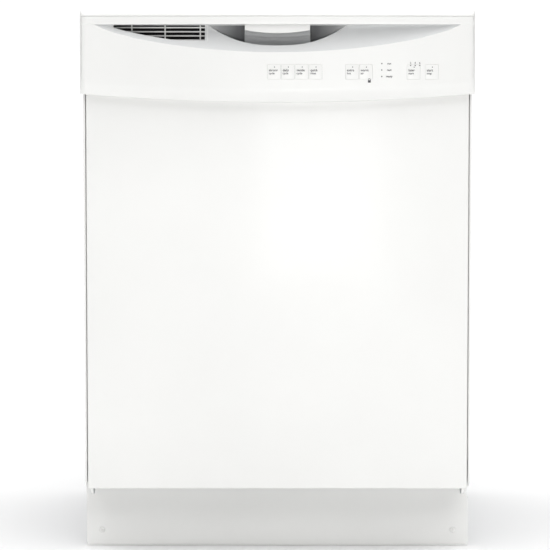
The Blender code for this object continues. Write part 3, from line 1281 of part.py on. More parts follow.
def main():
    make_console()
    make_buttons()
    make_board()
    make_vent()
    make_pocket()
    pivot = make_handle()
    make_latch(pivot)
    make_door_panels()
    make_dispenser()
    make_hinges()
    make_tub()
    make_gasket()
    make_tub_frame()
    make_strike()
    make_blanket()
    make_base()
    make_legs()
    make_toe_kick()
    make_sump()
    make_motor()
    make_drain_pump()
    make_filter()
    make_conduit()
    make_heater()
    make_float()
    spray_arm("lower_spray_arm", FLOOR_IN + LOWER_ARM_UP, "grey_plastic")
    make_lower_rack()
    make_upper_rack()
    make_cutlery_basket()
    make_services()
    place_origins(pivot)


def pivot_at(name, place):
    """Move an object's origin, and not its shape, to a point on its joint's axis."""
    obj = bpy.data.objects[name]
    obj.data.transform(Matrix.Translation(obj.location - Vector(place)))
    obj.location = place


def ride_on(parent, names):
    """Parent objects where they stand."""
    for name in names:
        obj = bpy.data.objects[name]
        obj.parent = parent
        obj.matrix_parent_inverse = Matrix.Translation(parent.location).inverted()


def place_origins(pivot):
    """Origins on the joints' axes, and the door's pieces on one empty on the hinge."""
    door = bpy.data.objects.new("door_hinge", None)
    door.location = (0.0, Y_HINGE, Z_HINGE)
    PARTS.objects.link(door)
    for name, x in BUTTONS:
        pivot_at(name, (x, console_face(x), HEIGHT - BUTTON_DROP))
    pivot_at("latch_handle", (0.0, *pivot))
    pivot_at("dispenser_lid", (LID_X, HOUSING_FACE, LID_HINGE_Z))
    pivot_at("rinse_aid_cap", (CAP_X, HOUSING_FACE, DISPENSER_UP))
    arm_z = FLOOR_IN + LOWER_ARM_UP
    pivot_at("lower_spray_arm", (0.0, ARM_Y, arm_z))
    pivot_at("upper_spray_arm", (0.0, ARM_Y, UPPER_Z))
    wheels = []
    for word, side in (("left", -1), ("right", 1)):
        for end, y in zip(("front", "rear"), wheel_places()):
            wheels.append(f"lower_wheel_{end}_{word}")
            pivot_at(wheels[-1], (side * LOWER_X, y, AXLE_Z))
    ride_on(door, DOOR_PIECES + [name for name, _ in BUTTONS])
    ride_on(bpy.data.objects["lower_rack"], wheels + ["cutlery_basket"])
    ride_on(bpy.data.objects["upper_rack"], ["upper_spray_arm"])


clear_scene()
PARTS = collection("built_in_dishwasher")
CUTTERS = collection("cutters")
CUTTERS.hide_render = True
main()
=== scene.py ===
"""The looks of a built-in dishwasher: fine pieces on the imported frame, finishes, floor, light, camera."""

import math

import bmesh
import bpy
from mathutils import Matrix, Vector, noise


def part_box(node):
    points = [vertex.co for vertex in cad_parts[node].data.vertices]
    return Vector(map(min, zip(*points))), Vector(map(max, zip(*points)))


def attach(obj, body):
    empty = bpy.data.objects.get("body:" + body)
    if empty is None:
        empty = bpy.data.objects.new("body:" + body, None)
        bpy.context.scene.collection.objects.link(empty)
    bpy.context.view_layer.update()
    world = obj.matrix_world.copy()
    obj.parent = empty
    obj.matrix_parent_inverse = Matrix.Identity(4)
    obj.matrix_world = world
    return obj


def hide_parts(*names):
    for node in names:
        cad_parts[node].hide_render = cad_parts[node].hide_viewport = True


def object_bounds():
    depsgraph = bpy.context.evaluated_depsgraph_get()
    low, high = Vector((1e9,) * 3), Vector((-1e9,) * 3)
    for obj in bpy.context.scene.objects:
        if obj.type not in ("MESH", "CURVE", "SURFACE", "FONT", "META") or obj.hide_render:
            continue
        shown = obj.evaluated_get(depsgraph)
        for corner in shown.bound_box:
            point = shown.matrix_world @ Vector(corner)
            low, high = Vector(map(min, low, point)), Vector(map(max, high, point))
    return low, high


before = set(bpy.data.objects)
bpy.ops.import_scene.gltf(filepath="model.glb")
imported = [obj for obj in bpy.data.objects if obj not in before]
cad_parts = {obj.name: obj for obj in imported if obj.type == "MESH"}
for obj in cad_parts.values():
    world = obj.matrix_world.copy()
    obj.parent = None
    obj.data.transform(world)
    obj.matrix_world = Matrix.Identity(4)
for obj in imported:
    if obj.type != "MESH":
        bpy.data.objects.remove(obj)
CAD_BOX = [list(corner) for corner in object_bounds()]

# ---------------------------------------------------------------- sizes, in metres
HALF = CAD_BOX[1][0]  # half the control panel's length
TOP = CAD_BOX[1][2]
FRONT = CAD_BOX[0][1]  # control panel's face at its middle


def low(node):
    """A CAD node's lowest corner at rest."""
    return Vector(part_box(node)[0])


def high(node):
    """A CAD node's highest corner at rest."""
    return Vector(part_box(node)[1])


DOOR_Y = low("outer_door_panel").y
LINER_Y = high("inner_door_panel").y
TOE_TOP = low("outer_door_panel").z
PANEL_TOP = high("outer_door_panel").z
CONSOLE_REAR = high("console").y
BOW = 0.008  # the control panel's bow in plan
END_RADIUS = 0.010  # of its upright edges at the ends
LOW_RADIUS = 0.003  # of its lower edge
LOW_BAND = 0.022  # the face leans back over this height above its lower edge
LOW_LEAN = 0.0065  # how far it leans back by the lower edge
SMILE = 0.013  # how far its lower edge bows down
END_HEIGHT = 0.1275  # the control panel's height at its ends
LIP = TOP - 0.0218  # the edge over the scoop
GROOVE = TOP - 0.0092  # the fine groove under the crown
GROOVE_HALF = 0.0007
SCOOP_HALF = 0.2815  # half the length of the lens-shaped scoop
SCOOP_HIGH = 0.0425
SCOOP_DEEP = 0.025
WALL = 0.003  # of the control panel
POCKET_HALF = 0.104  # half the finger pocket's length
GRIP_HALF = 0.0503  # half the width of the pocket's raised middle
LOUVRE_PITCH = 0.00635
VENT_RIBS = (-0.2242, -0.1730, -0.1188)  # x of the vent's upright ribs
VENT_SEAM = -0.1072  # x of the seam at the right of the vent
LABEL_DROP = 0.0918  # top of the control panel to the labels' first line
LABEL_PITCH = 0.0048
LABEL_SIZES = (0.0052, 0.0044)
CORNERS = ("front_left", "front_right", "rear_left", "rear_right")
BUTTON_NAMES = ("heavy", "normal", "light", "rinse", "hot", "dry", "delay", "start")
ARM_Y = (low("lower_spray_arm").y + high("lower_spray_arm").y) / 2


# ---------------------------------------------------------------- finishes
def linear(code, alpha=1.0):
    """An sRGB hex colour as linear light."""
    parts = [int(code[i : i + 2], 16) / 255 for i in (0, 2, 4)]
    return [c / 12.92 if c <= 0.04045 else ((c + 0.055) / 1.055) ** 2.4 for c in parts] + [alpha]


def add(tree, kind, settings=None, **links):
    """A node with its settings and the sockets that feed it; i0 and i1 are sockets by number."""
    made = tree.nodes.new(kind)
    for key, value in (settings or {}).items():
        if key in made.inputs:
            made.inputs[key].default_value = value
        else:
            setattr(made, key, value)
    for key, source in links.items():
        numbered = key[0] == "i" and key[1:].isdigit()
        tree.links.new(source, made.inputs[int(key[1:]) if numbered else key])
    return made


def finish(name, colour, roughness, metallic=0.0, **sockets):
    """A Principled material, its tree, its shader and its Object coordinates."""
    made = bpy.data.materials.new(name)
    made.use_nodes = True
    shader = made.node_tree.nodes["Principled BSDF"]
    shader.inputs["Base Color"].default_value = linear(colour)
    shader.inputs["Roughness"].default_value = roughness
    shader.inputs["Metallic"].default_value = metallic
    for key, value in sockets.items():
        shader.inputs[key.replace("_", " ")].default_value = value
    place = add(made.node_tree, "ShaderNodeTexCoord").outputs["Object"]
    return made, made.node_tree, shader, place


def grained(tree, shader, place, grain, strength, distance, stretch=(1, 1, 1)):
    """A bump of fine noise whose grain is a size in metres, drawn out along an axis by stretch."""
    spread = add(tree, "ShaderNodeMapping", {"Scale": stretch}, Vector=place)
    cloud = add(tree, "ShaderNodeTexNoise", {"Scale": 1 / grain, "Detail": 3.0}, Vector=spread.outputs[0])
    bump = add(tree, "ShaderNodeBump", {"Strength": strength, "Distance": distance}, Height=cloud.outputs[0])
    tree.links.new(bump.outputs[0], shader.inputs["Normal"])
    return cloud


def varied(tree, shader, place, size, socket, dark, light):
    """A socket that wanders between two values or colours over a size in metres."""
    cloud = add(tree, "ShaderNodeTexNoise", {"Scale": 1 / size, "Detail": 4.0}, Vector=place)
    ramp = add(tree, "ShaderNodeValToRGB", Fac=cloud.outputs[0])
    ramp.color_ramp.elements[0].position = 0.3
    ramp.color_ramp.elements[1].position = 0.7
    ramp.color_ramp.elements[0].color = dark if len(dark) == 4 else (*dark, dark[0], dark[0], 1)
    ramp.color_ramp.elements[1].color = light if len(light) == 4 else (*light, light[0], light[0], 1)
    tree.links.new(ramp.outputs[0], shader.inputs[socket])
    return ramp


def moulded(name, colour, roughness, grain=0.0006, strength=0.08, shade=0.03):
    """Injection-moulded plastic: an even colour that wanders slightly, and a fine spark-eroded grain."""
    made, tree, shader, place = finish(name, colour, roughness, Specular_IOR_Level=0.45)
    paler = linear(colour)
    darker = [c * (1 - shade) for c in paler[:3]] + [1.0]
    varied(tree, shader, place, 0.12, "Base Color", darker, paler)
    grained(tree, shader, place, grain, strength, 0.0001)
    return made


def white_abs():
    """Glossy white ABS of the control panel: a soft sheen, with sink marks too shallow to see."""
    made, tree, shader, place = finish("white_abs", "F1F1EF", 0.30, Specular_IOR_Level=0.5, Coat_Weight=0.25)
    shader.inputs["Coat Roughness"].default_value = 0.12
    varied(tree, shader, place, 0.20, "Base Color", linear("EFEFED"), linear("F3F3F1"))
    grained(tree, shader, place, 0.004, 0.05, 0.0001)
    return made


def baked_enamel():
    """Baked white enamel on sheet steel: gloss, with the long low ripple of orange peel."""
    made, tree, shader, place = finish("baked_enamel", "F3F3F1", 0.27, Coat_Weight=0.35)
    shader.inputs["Coat Roughness"].default_value = 0.10
    varied(tree, shader, place, 0.30, "Base Color", linear("F1F1EF"), linear("F5F5F3"))
    grained(tree, shader, place, 0.006, 0.06, 0.00015)
    return made


def printed_ink():
    """Grey pad-printed ink: flat, matt and very slightly broken at its edges."""
    made, tree, shader, place = finish("printed_ink", "505053", 0.6)
    varied(tree, shader, place, 0.0006, "Base Color", linear("4A4A4D"), linear("5A5A5D"))
    return made


def galvanised_steel():
    """Hot-dipped zinc on sheet steel: spangles a centimetre across that differ in shine."""
    made, tree, shader, place = finish("galvanised_steel", "B4B8BB", 0.42, 1.0)
    cells = add(tree, "ShaderNodeTexVoronoi", {"Scale": 1 / 0.011}, Vector=place)
    ramp = add(tree, "ShaderNodeValToRGB", Fac=cells.outputs["Color"])
    ramp.color_ramp.elements[0].color = linear("A6AAAD")
    ramp.color_ramp.elements[1].color = linear("C4C7C9")
    tree.links.new(ramp.outputs[0], shader.inputs["Base Color"])
    rough = add(tree, "ShaderNodeMapRange", {"To Min": 0.34, "To Max": 0.52}, Value=cells.outputs["Color"])
    tree.links.new(rough.outputs[0], shader.inputs["Roughness"])
    grained(tree, shader, place, 0.0012, 0.10, 0.0001)
    return made


def stainless_steel():
    """Stainless steel with the fine lengthwise lines of rolling and drawing."""
    made, tree, shader, place = finish("stainless_steel", "C6C7C6", 0.28, 1.0)
    varied(tree, shader, place, 0.05, "Base Color", linear("BEBFBE"), linear("CECFCE"))
    grained(tree, shader, place, 0.0008, 0.20, 0.0001, stretch=(1, 0.05, 1))
    return made


def heater_sheath():
    """Nickel alloy sheath of the heating element: darkened by heat, with straw and blue tints."""
    made, tree, shader, place = finish("heater_sheath", "8E8A84", 0.38, 1.0)
    varied(tree, shader, place, 0.03, "Base Color", linear("77726C"), linear("A39C90"))
    grained(tree, shader, place, 0.0010, 0.15, 0.0001)
    return made


def brass():
    """Turned brass of the water inlet, dulled a little."""
    made, tree, shader, place = finish("turned_brass", "C9A45C", 0.34, 1.0)
    varied(tree, shader, place, 0.01, "Base Color", linear("B8924B"), linear("D3B06A"))
    return made


def door_seal_rubber():
    """Extruded EPDM: soft black with a matt bloom."""
    made, tree, shader, place = finish("door_seal_rubber", "2B2B2C", 0.75, Specular_IOR_Level=0.3)
    varied(tree, shader, place, 0.02, "Base Color", linear("252526"), linear("363637"))
    grained(tree, shader, place, 0.0010, 0.15, 0.0001)
    return made


def nylon_coat():
    """Nylon powder fused on wire: smooth and satin, with slightly thicker, paler stretches."""
    made, tree, shader, place = finish("nylon_coat", "8F9BA6", 0.35, Coat_Weight=0.2)
    varied(tree, shader, place, 0.015, "Base Color", linear("85919C"), linear("99A5AF"))
    grained(tree, shader, place, 0.0020, 0.10, 0.0001)
    return made


def bitumen_felt():
    """Sound blanket of felted cotton under a thin dark scrim: fibrous, dusty and quite matt."""
    made, tree, shader, place = finish(
        "bitumen_felt", "3A3B3E", 0.95, Specular_IOR_Level=0.2, Sheen_Weight=0.35
    )
    shader.inputs["Sheen Roughness"].default_value = 0.5
    fleck = add(
        tree, "ShaderNodeTexNoise", {"Scale": 1 / 0.004, "Detail": 8.0, "Roughness": 0.8}, Vector=place
    )
    ramp = add(tree, "ShaderNodeValToRGB", Fac=fleck.outputs[0])
    ramp.color_ramp.elements[0].position = 0.35
    ramp.color_ramp.elements[0].color = linear("2C2D30")
    ramp.color_ramp.elements[1].position = 0.75
    ramp.color_ramp.elements[1].color = linear("5A5B5F")
    tree.links.new(ramp.outputs[0], shader.inputs["Base Color"])
    bump = add(tree, "ShaderNodeBump", {"Strength": 0.6, "Distance": 0.0006}, Height=fleck.outputs[0])
    tree.links.new(bump.outputs[0], shader.inputs["Normal"])
    return made


def pocket_abs_painted_shade():
    """Grey ABS of the finger pocket: mid-grey behind the handle; beside it painted shade, dark by the handle
    and fading to white towards the pocket's ends.
    """
    made, tree, shader, place = finish("pocket_abs_painted_shade", "CFD0D1", 0.42)
    parts = add(tree, "ShaderNodeSeparateXYZ", Vector=place)
    across = add(tree, "ShaderNodeMath", {"operation": "ABSOLUTE"}, i0=parts.outputs["X"])
    share = add(tree, "ShaderNodeMapRange", {"From Max": POCKET_HALF}, Value=across.outputs[0])
    ramp = add(tree, "ShaderNodeValToRGB", Fac=share.outputs[0])
    stops = ramp.color_ramp.elements
    stops[0].color = stops[1].color = linear("CFD0D1")
    stops[1].position = GRIP_HALF / POCKET_HALF
    # Painted shade: these stops darken the pocket beside the handle and fade to white towards its ends.
    for position, code in ((0.492, "8C8D8F"), (0.60, "8C8D8F"), (0.84, "BFC0C1"), (1.0, "E6E6E6")):
        stops.new(position).color = linear(code)
    tree.links.new(ramp.outputs[0], shader.inputs["Base Color"])
    grained(tree, shader, place, 0.0006, 0.08, 0.0001)
    return made


def filter_gauze():
    """Etched stainless gauze: rows of half-millimetre holes, drawn three times as coarse to show."""
    made, tree, shader, place = finish("filter_gauze", "B9BABA", 0.35, 0.9)
    cells = add(tree, "ShaderNodeTexVoronoi", {"Scale": 1 / 0.0032, "Randomness": 0.0}, Vector=place)
    ramp = add(tree, "ShaderNodeValToRGB", Fac=cells.outputs["Distance"])
    ramp.color_ramp.elements[0].position = 0.30
    ramp.color_ramp.elements[0].color = linear("2A2B2C")
    ramp.color_ramp.elements[1].position = 0.36
    ramp.color_ramp.elements[1].color = linear("B9BABA")
    tree.links.new(ramp.outputs[0], shader.inputs["Base Color"])
    return made


def circuit_lacquer():
    """Green solder mask over copper tracks that show as paler lines."""
    made, tree, shader, place = finish("circuit_lacquer", "2E6B43", 0.35)
    bricks = add(tree, "ShaderNodeTexBrick", {"Scale": 1 / 0.012, "Mortar Size": 0.06}, Vector=place)
    bricks.inputs["Color1"].default_value = linear("2A6640")
    bricks.inputs["Color2"].default_value = linear("2F6E46")
    bricks.inputs["Mortar"].default_value = linear("5E9A63")
    tree.links.new(bricks.outputs[0], shader.inputs["Base Color"])
    return made


def studio_floor():
    """Seamless white studio paper, faintly mottled."""
    made, tree, shader, place = finish("studio_paper", "F4F4F4", 0.9, Specular_IOR_Level=0.1)
    varied(tree, shader, place, 0.8, "Base Color", linear("F3F3F3"), linear("F6F6F6"))
    return made


FINISHES = {
    "white_plastic": white_abs(),
    "white_enamel": baked_enamel(),
    "ink": printed_ink(),
    "grey_plastic": moulded("grey_polypropylene", "A9ACAE", 0.42),
    # The scoop's finish: more matt than the face, and greyer as painted shade in the recess under the lip.
    "satin_plastic_painted_shade": moulded("satin_abs_painted_shade", "DCDDDD", 0.45),
    # The finger pocket's finish, with painted shade beside the handle.
    "pocket_plastic_painted_shade": pocket_abs_painted_shade(),
    "dark_plastic": moulded("black_nylon", "26272A", 0.48, grain=0.0009, strength=0.15),
    "tub_plastic": moulded("tub_polypropylene", "B4B7B8", 0.36, grain=0.003, strength=0.10),
    "blue_plastic": moulded("blue_polypropylene", "4A6790", 0.38),
    "galvanised": galvanised_steel(),
    "stainless": stainless_steel(),
    "heater": heater_sheath(),
    "brass": brass(),
    "rubber": door_seal_rubber(),
    "blanket": bitumen_felt(),
    "rack_vinyl": nylon_coat(),
    "gauze": filter_gauze(),
    "circuit_board": circuit_lacquer(),
}


# ---------------------------------------------------------------- making pieces
def as_piece(name, bm, finish_name, body, stands_for=(), sharp=35):
    """A finished bmesh as a smooth-shaded piece that rides on a body."""
    return settled(loose(name, bm), finish_name, body, stands_for, sharp)


def settled(made, finish_name, body, stands_for=(), sharp=35):
    """An object made a piece: its finish, its smooth shading, its body and the nodes that it stands for."""
    mesh = made.data
    mesh.materials.clear()
    mesh.materials.append(FINISHES[finish_name])
    mesh.shade_smooth()
    mesh.set_sharp_from_angle(angle=math.radians(sharp))
    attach(made, body)
    if stands_for:
        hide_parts(*stands_for)
    return made


def loose(name, bm):
    """An object that isn't a piece yet."""
    mesh = bpy.data.meshes.new(name)
    bm.to_mesh(mesh)
    bm.free()
    made = bpy.data.objects.new(name, mesh)
    bpy.context.scene.collection.objects.link(made)
    return made


def modifier(made, kind, **settings):
    """A modifier with its settings."""
    change = made.modifiers.new(kind.lower(), kind)
    for key, value in settings.items():
        setattr(change, key, value)
    return change


def applied(made):
    """The object's modifiers made part of its mesh."""
    shape = made.evaluated_get(bpy.context.evaluated_depsgraph_get())
    mesh = bpy.data.meshes.new_from_object(shape)
    made.modifiers.clear()
    made.data = mesh
    return made


def carved(made, *cutters, operation="DIFFERENCE"):
    """An object cut by cutters, or joined with them, which are used up."""
    for cutter in cutters:
        modifier(made, "BOOLEAN", object=cutter, operation=operation, solver="EXACT")
    applied(made)
    for cutter in cutters:
        bpy.data.objects.remove(cutter)
    return made


def block(bm, near, far, radius=0.0, segments=2):
    """A box between two corners, its edges rounded."""
    near, far = Vector(near), Vector(far)
    size = [abs(far[i] - near[i]) for i in range(3)]
    where = Matrix.Translation((near + far) / 2) @ Matrix.Diagonal((*size, 1))
    verts = bmesh.ops.create_cube(bm, size=1.0, matrix=where)["verts"]
    edges = list({edge for vert in verts for edge in vert.link_edges})
    if radius:
        softened(bm, edges, min(radius, min(size) * 0.45), segments)


def rod(bm, start, end, radius, sides=24, end_radius=None):
    """A rod, or a cone with another radius at its end."""
    start, end = Vector(start), Vector(end)
    turn = (end - start).to_track_quat("Z", "Y").to_matrix().to_4x4()
    bmesh.ops.create_cone(
        bm,
        cap_ends=True,
        segments=sides,
        radius1=radius,
        radius2=radius if end_radius is None else end_radius,
        depth=(end - start).length,
        matrix=Matrix.Translation((start + end) / 2) @ turn,
    )


def turned(bm, profile, centre, axis=(0, 0, 1), steps=48):
    """A profile of (radius, height) points turned about an axis through centre."""
    turn = Vector(axis).to_track_quat("Z", "Y").to_matrix().to_4x4()
    where = Matrix.Translation(centre) @ turn
    verts = [bm.verts.new(where @ Vector((radius, 0, height))) for radius, height in profile]
    edges = [bm.edges.new(pair) for pair in zip(verts, verts[1:])]
    bmesh.ops.spin(
        bm, geom=verts + edges, cent=centre, axis=axis, angle=2 * math.pi, steps=steps, use_merge=True
    )
    bmesh.ops.remove_doubles(bm, verts=bm.verts, dist=0.000005)
    bmesh.ops.recalc_face_normals(bm, faces=bm.faces)


def faced(bm, pick, way):
    """An open shell's faces all turned so that the one that pick rates highest points a way."""
    bmesh.ops.recalc_face_normals(bm, faces=bm.faces)
    if max(bm.faces, key=pick).normal.dot(Vector(way)) < 0:
        bmesh.ops.reverse_faces(bm, faces=bm.faces)


def smoothed(bm, verts, times):
    """Points drawn towards their neighbours a number of times."""
    ways = {"use_axis_x": True, "use_axis_y": True, "use_axis_z": True}
    for _ in range(times):
        bmesh.ops.smooth_vert(bm, verts=verts, factor=0.5, **ways)


def softened(bm, edges, radius, segments):
    """Edges rounded to a radius."""
    bmesh.ops.bevel(
        bm, geom=edges, offset=radius, segments=segments, profile=0.5, affect="EDGES", material=-1
    )


def rounded(points, radius, steps=4):
    """A path with its corners turned into arcs."""
    points = [Vector(point) for point in points]
    path = [points[0]]
    for before, here, after in zip(points, points[1:], points[2:]):
        back, on = before - here, after - here
        reach = min(radius, back.length * 0.45, on.length * 0.45)
        start, end = here + back.normalized() * reach, here + on.normalized() * reach
        for i in range(steps + 1):
            t = i / steps
            path.append(start * (1 - t) ** 2 + here * 2 * t * (1 - t) + end * t**2)
    return path + [points[-1]]


def wires(name, paths, radius, sides=2, closed=False):
    """Round wires along paths, as one mesh."""
    curve = bpy.data.curves.new(name, "CURVE")
    curve.dimensions = "3D"
    curve.bevel_depth = radius
    curve.bevel_resolution = sides
    curve.use_fill_caps = True
    for path in paths:
        spline = curve.splines.new("POLY")
        spline.points.add(len(path) - 1)
        spline.use_cyclic_u = closed
        for point, place in zip(spline.points, path):
            point.co = (*place, 1.0)
    made = bpy.data.objects.new(name, curve)
    bpy.context.scene.collection.objects.link(made)
    mesh = bpy.data.meshes.new_from_object(made.evaluated_get(bpy.context.evaluated_depsgraph_get()))
    bpy.data.objects.remove(made)
    bm = bmesh.new()
    bm.from_mesh(mesh)
    bmesh.ops.remove_doubles(bm, verts=bm.verts, dist=0.00001)
    return bm


def joined(target, extra):
    """One bmesh added to another."""
    mesh = bpy.data.meshes.new("joined")
    extra.to_mesh(mesh)
    extra.free()
    target.from_mesh(mesh)
    return target


def refined(node, finish_name, body, radius, segments=2, sharp=35):
    """A CAD node's shape with its doubles merged and its edges rounded."""
    bm = bmesh.new()
    bm.from_mesh(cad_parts[node].data)
    bmesh.ops.remove_doubles(bm, verts=bm.verts, dist=0.00001)
    bmesh.ops.dissolve_limit(bm, angle_limit=math.radians(1), verts=bm.verts, edges=bm.edges)
    made = as_piece(node + "_fine", bm, finish_name, body, (node,), sharp)
    modifier(
        made, "BEVEL", width=radius, segments=segments, limit_method="ANGLE", angle_limit=math.radians(50)
    )
    return made


def shaped_grid(columns, rows):
    """A flat grid with a point for each column and row, and its steps across and along."""
    bm = bmesh.new()
    across, along = columns - 1, rows - 1
    bmesh.ops.create_grid(bm, x_segments=across, y_segments=along, size=0.5)
    return bm, across, along


def lay(bm, across, along, places):
    """A grid's points moved to places[i][j], for column i and row j."""
    for vert in bm.verts:
        i, j = round((vert.co.x + 0.5) * across), round((vert.co.y + 0.5) * along)
        vert.co = places[i][j]
    return bm


def drum(low_x, high_x, low_of, high_of, front, back, count):
    """A cutter along Y whose lower and upper edges follow functions of x."""
    bm, across, along = shaped_grid(count + 1, 2)
    places = []
    for i in range(count + 1):
        x = low_x + (high_x - low_x) * i / count
        places.append([Vector((x, front, low_of(x))), Vector((x, front, high_of(x)))])
    lay(bm, across, along, places)
    face = bmesh.ops.extrude_face_region(bm, geom=bm.faces[:])
    moved = [item for item in face["geom"] if isinstance(item, bmesh.types.BMVert)]
    bmesh.ops.translate(bm, verts=moved, vec=(0, back - front, 0))
    bmesh.ops.recalc_face_normals(bm, faces=bm.faces)
    return loose("cutter", bm)


def cutter_block(near, far, radius=0.0, segments=2):
    """A box to cut with."""
    bm = bmesh.new()
    block(bm, near, far, radius, segments)
    return loose("cutter", bm)


def cutter_rod(start, end, radius, sides=48):
    """A rod to cut with."""
    bm = bmesh.new()
    rod(bm, start, end, radius, sides)
    return loose("cutter", bm)


# ---------------------------------------------------------------- control panel
def console_face(x):
    """The control panel's face at x, bowed in plan and rounded at its ends."""
    y = FRONT + BOW * min(1.0, abs(x) / HALF) ** 2
    past = min(END_RADIUS, max(0.0, abs(x) - (HALF - END_RADIUS)))
    return y + END_RADIUS - math.sqrt(END_RADIUS**2 - past**2)


def console_low(x):
    """The control panel's lower edge at x, bowed down in the middle."""
    return TOP - END_HEIGHT - SMILE * (1 - min(1.0, abs(x) / HALF) ** 2)


def scoop_high(x):
    """The height of the lens-shaped scoop at x."""
    share = min(1.0, abs(x) / SCOOP_HALF)
    return max(0.0004, SCOOP_HIGH * (1 - 0.83 * share**2 - 0.17 * share**12))


def scoop_deep(x, share):
    """How deep the scoop is at a share of its height; it is steepest just over its lower edge."""
    return SCOOP_DEEP * scoop_high(x) / SCOOP_HIGH * math.sin(share * math.pi / 2)


def lean(face, height):
    """How far the face has leant back at a height above its lower edge; less where the bow has done so."""
    room = max(0.0, DOOR_Y - 0.006 - face) / (DOOR_Y - 0.006 - FRONT)
    return LOW_LEAN * room * max(0.0, 1 - height / LOW_BAND) ** 2


def quarter(centre, radius, start, end, count):
    """Points along an arc between two angles in degrees."""
    angles = [math.radians(start + (end - start) * i / count) for i in range(count + 1)]
    return [(centre[0] + radius * math.cos(a), centre[1] + radius * math.sin(a)) for a in angles]


def console_section(x):
    """The control panel's outer section at x, from its lower rear edge over its face to its top."""
    face, bottom, rise = console_face(x), console_low(x), scoop_high(x)
    scoop_low, deep = LIP - rise, scoop_deep(x, 1)
    points = [(CONSOLE_REAR, bottom), (DOOR_Y, bottom)]
    steep = 180 + math.degrees(math.atan(1.7 * lean(face, 0) / LOW_BAND))
    start = LOW_RADIUS * (1 + math.sin(math.radians(steep)))
    middle = face + lean(face, start) - LOW_RADIUS * math.cos(math.radians(steep))
    points += quarter((middle, bottom + LOW_RADIUS), LOW_RADIUS, 270, steep, 8)
    for i in range(1, 20):
        if i <= 10:
            height = start + (LOW_BAND - start) * i / 10
        else:
            height = LOW_BAND + (scoop_low - bottom - LOW_BAND) * (i - 10) / 10
        points.append((face + lean(face, height), bottom + height))
    points += [(face + scoop_deep(x, i / 22), scoop_low + rise * i / 22) for i in range(23)]
    edge = min(0.0010, deep * 0.5)
    points += [(face + edge + (deep - edge) * i / 4, LIP + 0.00002 * (4 - i)) for i in (3, 2, 1)]
    points += quarter((face + edge, LIP + edge + 0.00008), edge, 270, 180, 4)
    start = LIP + edge + 0.0001
    points += [(face, start + (GROOVE - GROOVE_HALF - start) * i / 3) for i in (1, 2, 3)]
    points += [(face + 0.0012, GROOVE - GROOVE_HALF * 0.5), (face + 0.0012, GROOVE + GROOVE_HALF * 0.5)]
    crown = TOP - GROOVE - GROOVE_HALF
    for i in range(13):
        turn = math.pi / 2 * i / 12
        points.append((face + 0.014 * (1 - math.cos(turn)), TOP - crown + crown * math.sin(turn)))
    points += [(face + 0.030, TOP), (CONSOLE_REAR, TOP)]
    return [Vector((x, y, z)) for y, z in points]


def console_room(x, at):
    """The hollow behind the wall, in the same way, for the section at x but laid at another place."""
    face, bottom, rise = console_face(x) + WALL, console_low(x) + WALL, scoop_high(x)
    rear = CONSOLE_REAR + 0.010
    points = [(rear, bottom), (face + lean(face - WALL, 0), bottom), (face, bottom + LOW_BAND)]
    points += [(face + scoop_deep(x, i / 8), LIP - rise * (1 - i / 8)) for i in range(9)]
    points += [(face + scoop_deep(x, 1), LIP + WALL), (face, LIP + WALL + 0.0003)]
    points += [(face, GROOVE - WALL / 2), (face + 0.006, TOP - WALL), (rear, TOP - WALL)]
    return [Vector((at, y, z)) for y, z in points]


def lofted(sections):
    """A closed solid through sections that have the same number of points."""
    bm, across, along = shaped_grid(len(sections), len(sections[0]) + 1)
    lay(bm, across, along, [section + section[:1] for section in sections])
    bmesh.ops.remove_doubles(bm, verts=bm.verts, dist=0.000002)
    bmesh.ops.holes_fill(bm, edges=[edge for edge in bm.edges if edge.is_boundary], sides=0)
    bmesh.ops.recalc_face_normals(bm, faces=bm.faces)
    return loose("lofted", bm)


def pocket_low(x):
    """The finger pocket's lower edge at x, which sweeps up to its ends."""
    return min(LIP - 0.0014, LIP - 0.0318 + 0.0052 * (abs(x) / 0.0514) ** 2.5)


def vent_low(x):
    """The vent's lower edge at x."""
    return max(LIP - scoop_high(x) + 0.0080, LIP - 0.0238)


def button_cutter(node):
    """A cutter for a button's hole, with a fine gap round it."""
    near, far = low(node), high(node)
    face = console_face((near.x + far.x) / 2)
    gap = 0.00012
    low_corner = (near.x - gap, face - 0.02, near.z - gap)
    return cutter_block(low_corner, (far.x + gap, face + 0.012, far.z + gap), 0.0008, 3)


def make_console():
    """The control panel: a lofted shell with its scoop, vent, pocket and button holes."""
    columns = 241
    xs = [HALF * math.sin(math.pi / 2 * (2 * i / (columns - 1) - 1)) for i in range(columns)]
    made = lofted([console_section(x) for x in xs])
    made.name = "console_shell"
    straight = HALF - END_RADIUS - 0.0001
    rooms = [console_room(straight * (i / 30 - 1), straight * (i / 30 - 1)) for i in range(61)]
    limit = HALF - WALL
    rooms = [console_room(-straight, -limit)] + rooms + [console_room(straight, limit)]
    carved(made, lofted(rooms))
    gap = 0.0005
    behind = cutter_block((-1, DOOR_Y - gap, 0), (1, DOOR_Y + 0.1, PANEL_TOP + gap))
    left, right = low("vent_grille").x + 0.005, high("vent_grille").x - 0.005
    reach = CONSOLE_REAR - 0.004
    vent = drum(left, right, vent_low, lambda x: LIP - 0.0004, FRONT - 0.01, reach, 24)
    pocket = drum(-POCKET_HALF, POCKET_HALF, pocket_low, lambda x: LIP - 0.0004, FRONT - 0.01, reach, 32)
    half = high("latch_handle").x - 0.0035
    slot_low = (-half, FRONT + WALL + 0.0003, LIP - 0.004)
    slot = cutter_block(slot_low, (half, FRONT + 0.026, LIP + WALL + 0.001))
    cutters = [behind, vent, pocket, slot] + [button_cutter("button_" + name) for name in BUTTON_NAMES]
    carved(made, *cutters)
    settled(made, "white_plastic", "door", ("console",), sharp=28)
    made.data.materials.append(FINISHES["satin_plastic_painted_shade"])
    # Faces inside the scoop take the satin finish: a more matt surface whose greyer tone is painted shade
    # under the lip.
    for face in made.data.polygons:
        x, y, z = face.center
        if LIP - scoop_high(x) < z < LIP + 0.0002 and y > console_face(x) + 0.0004:
            face.material_index = 1


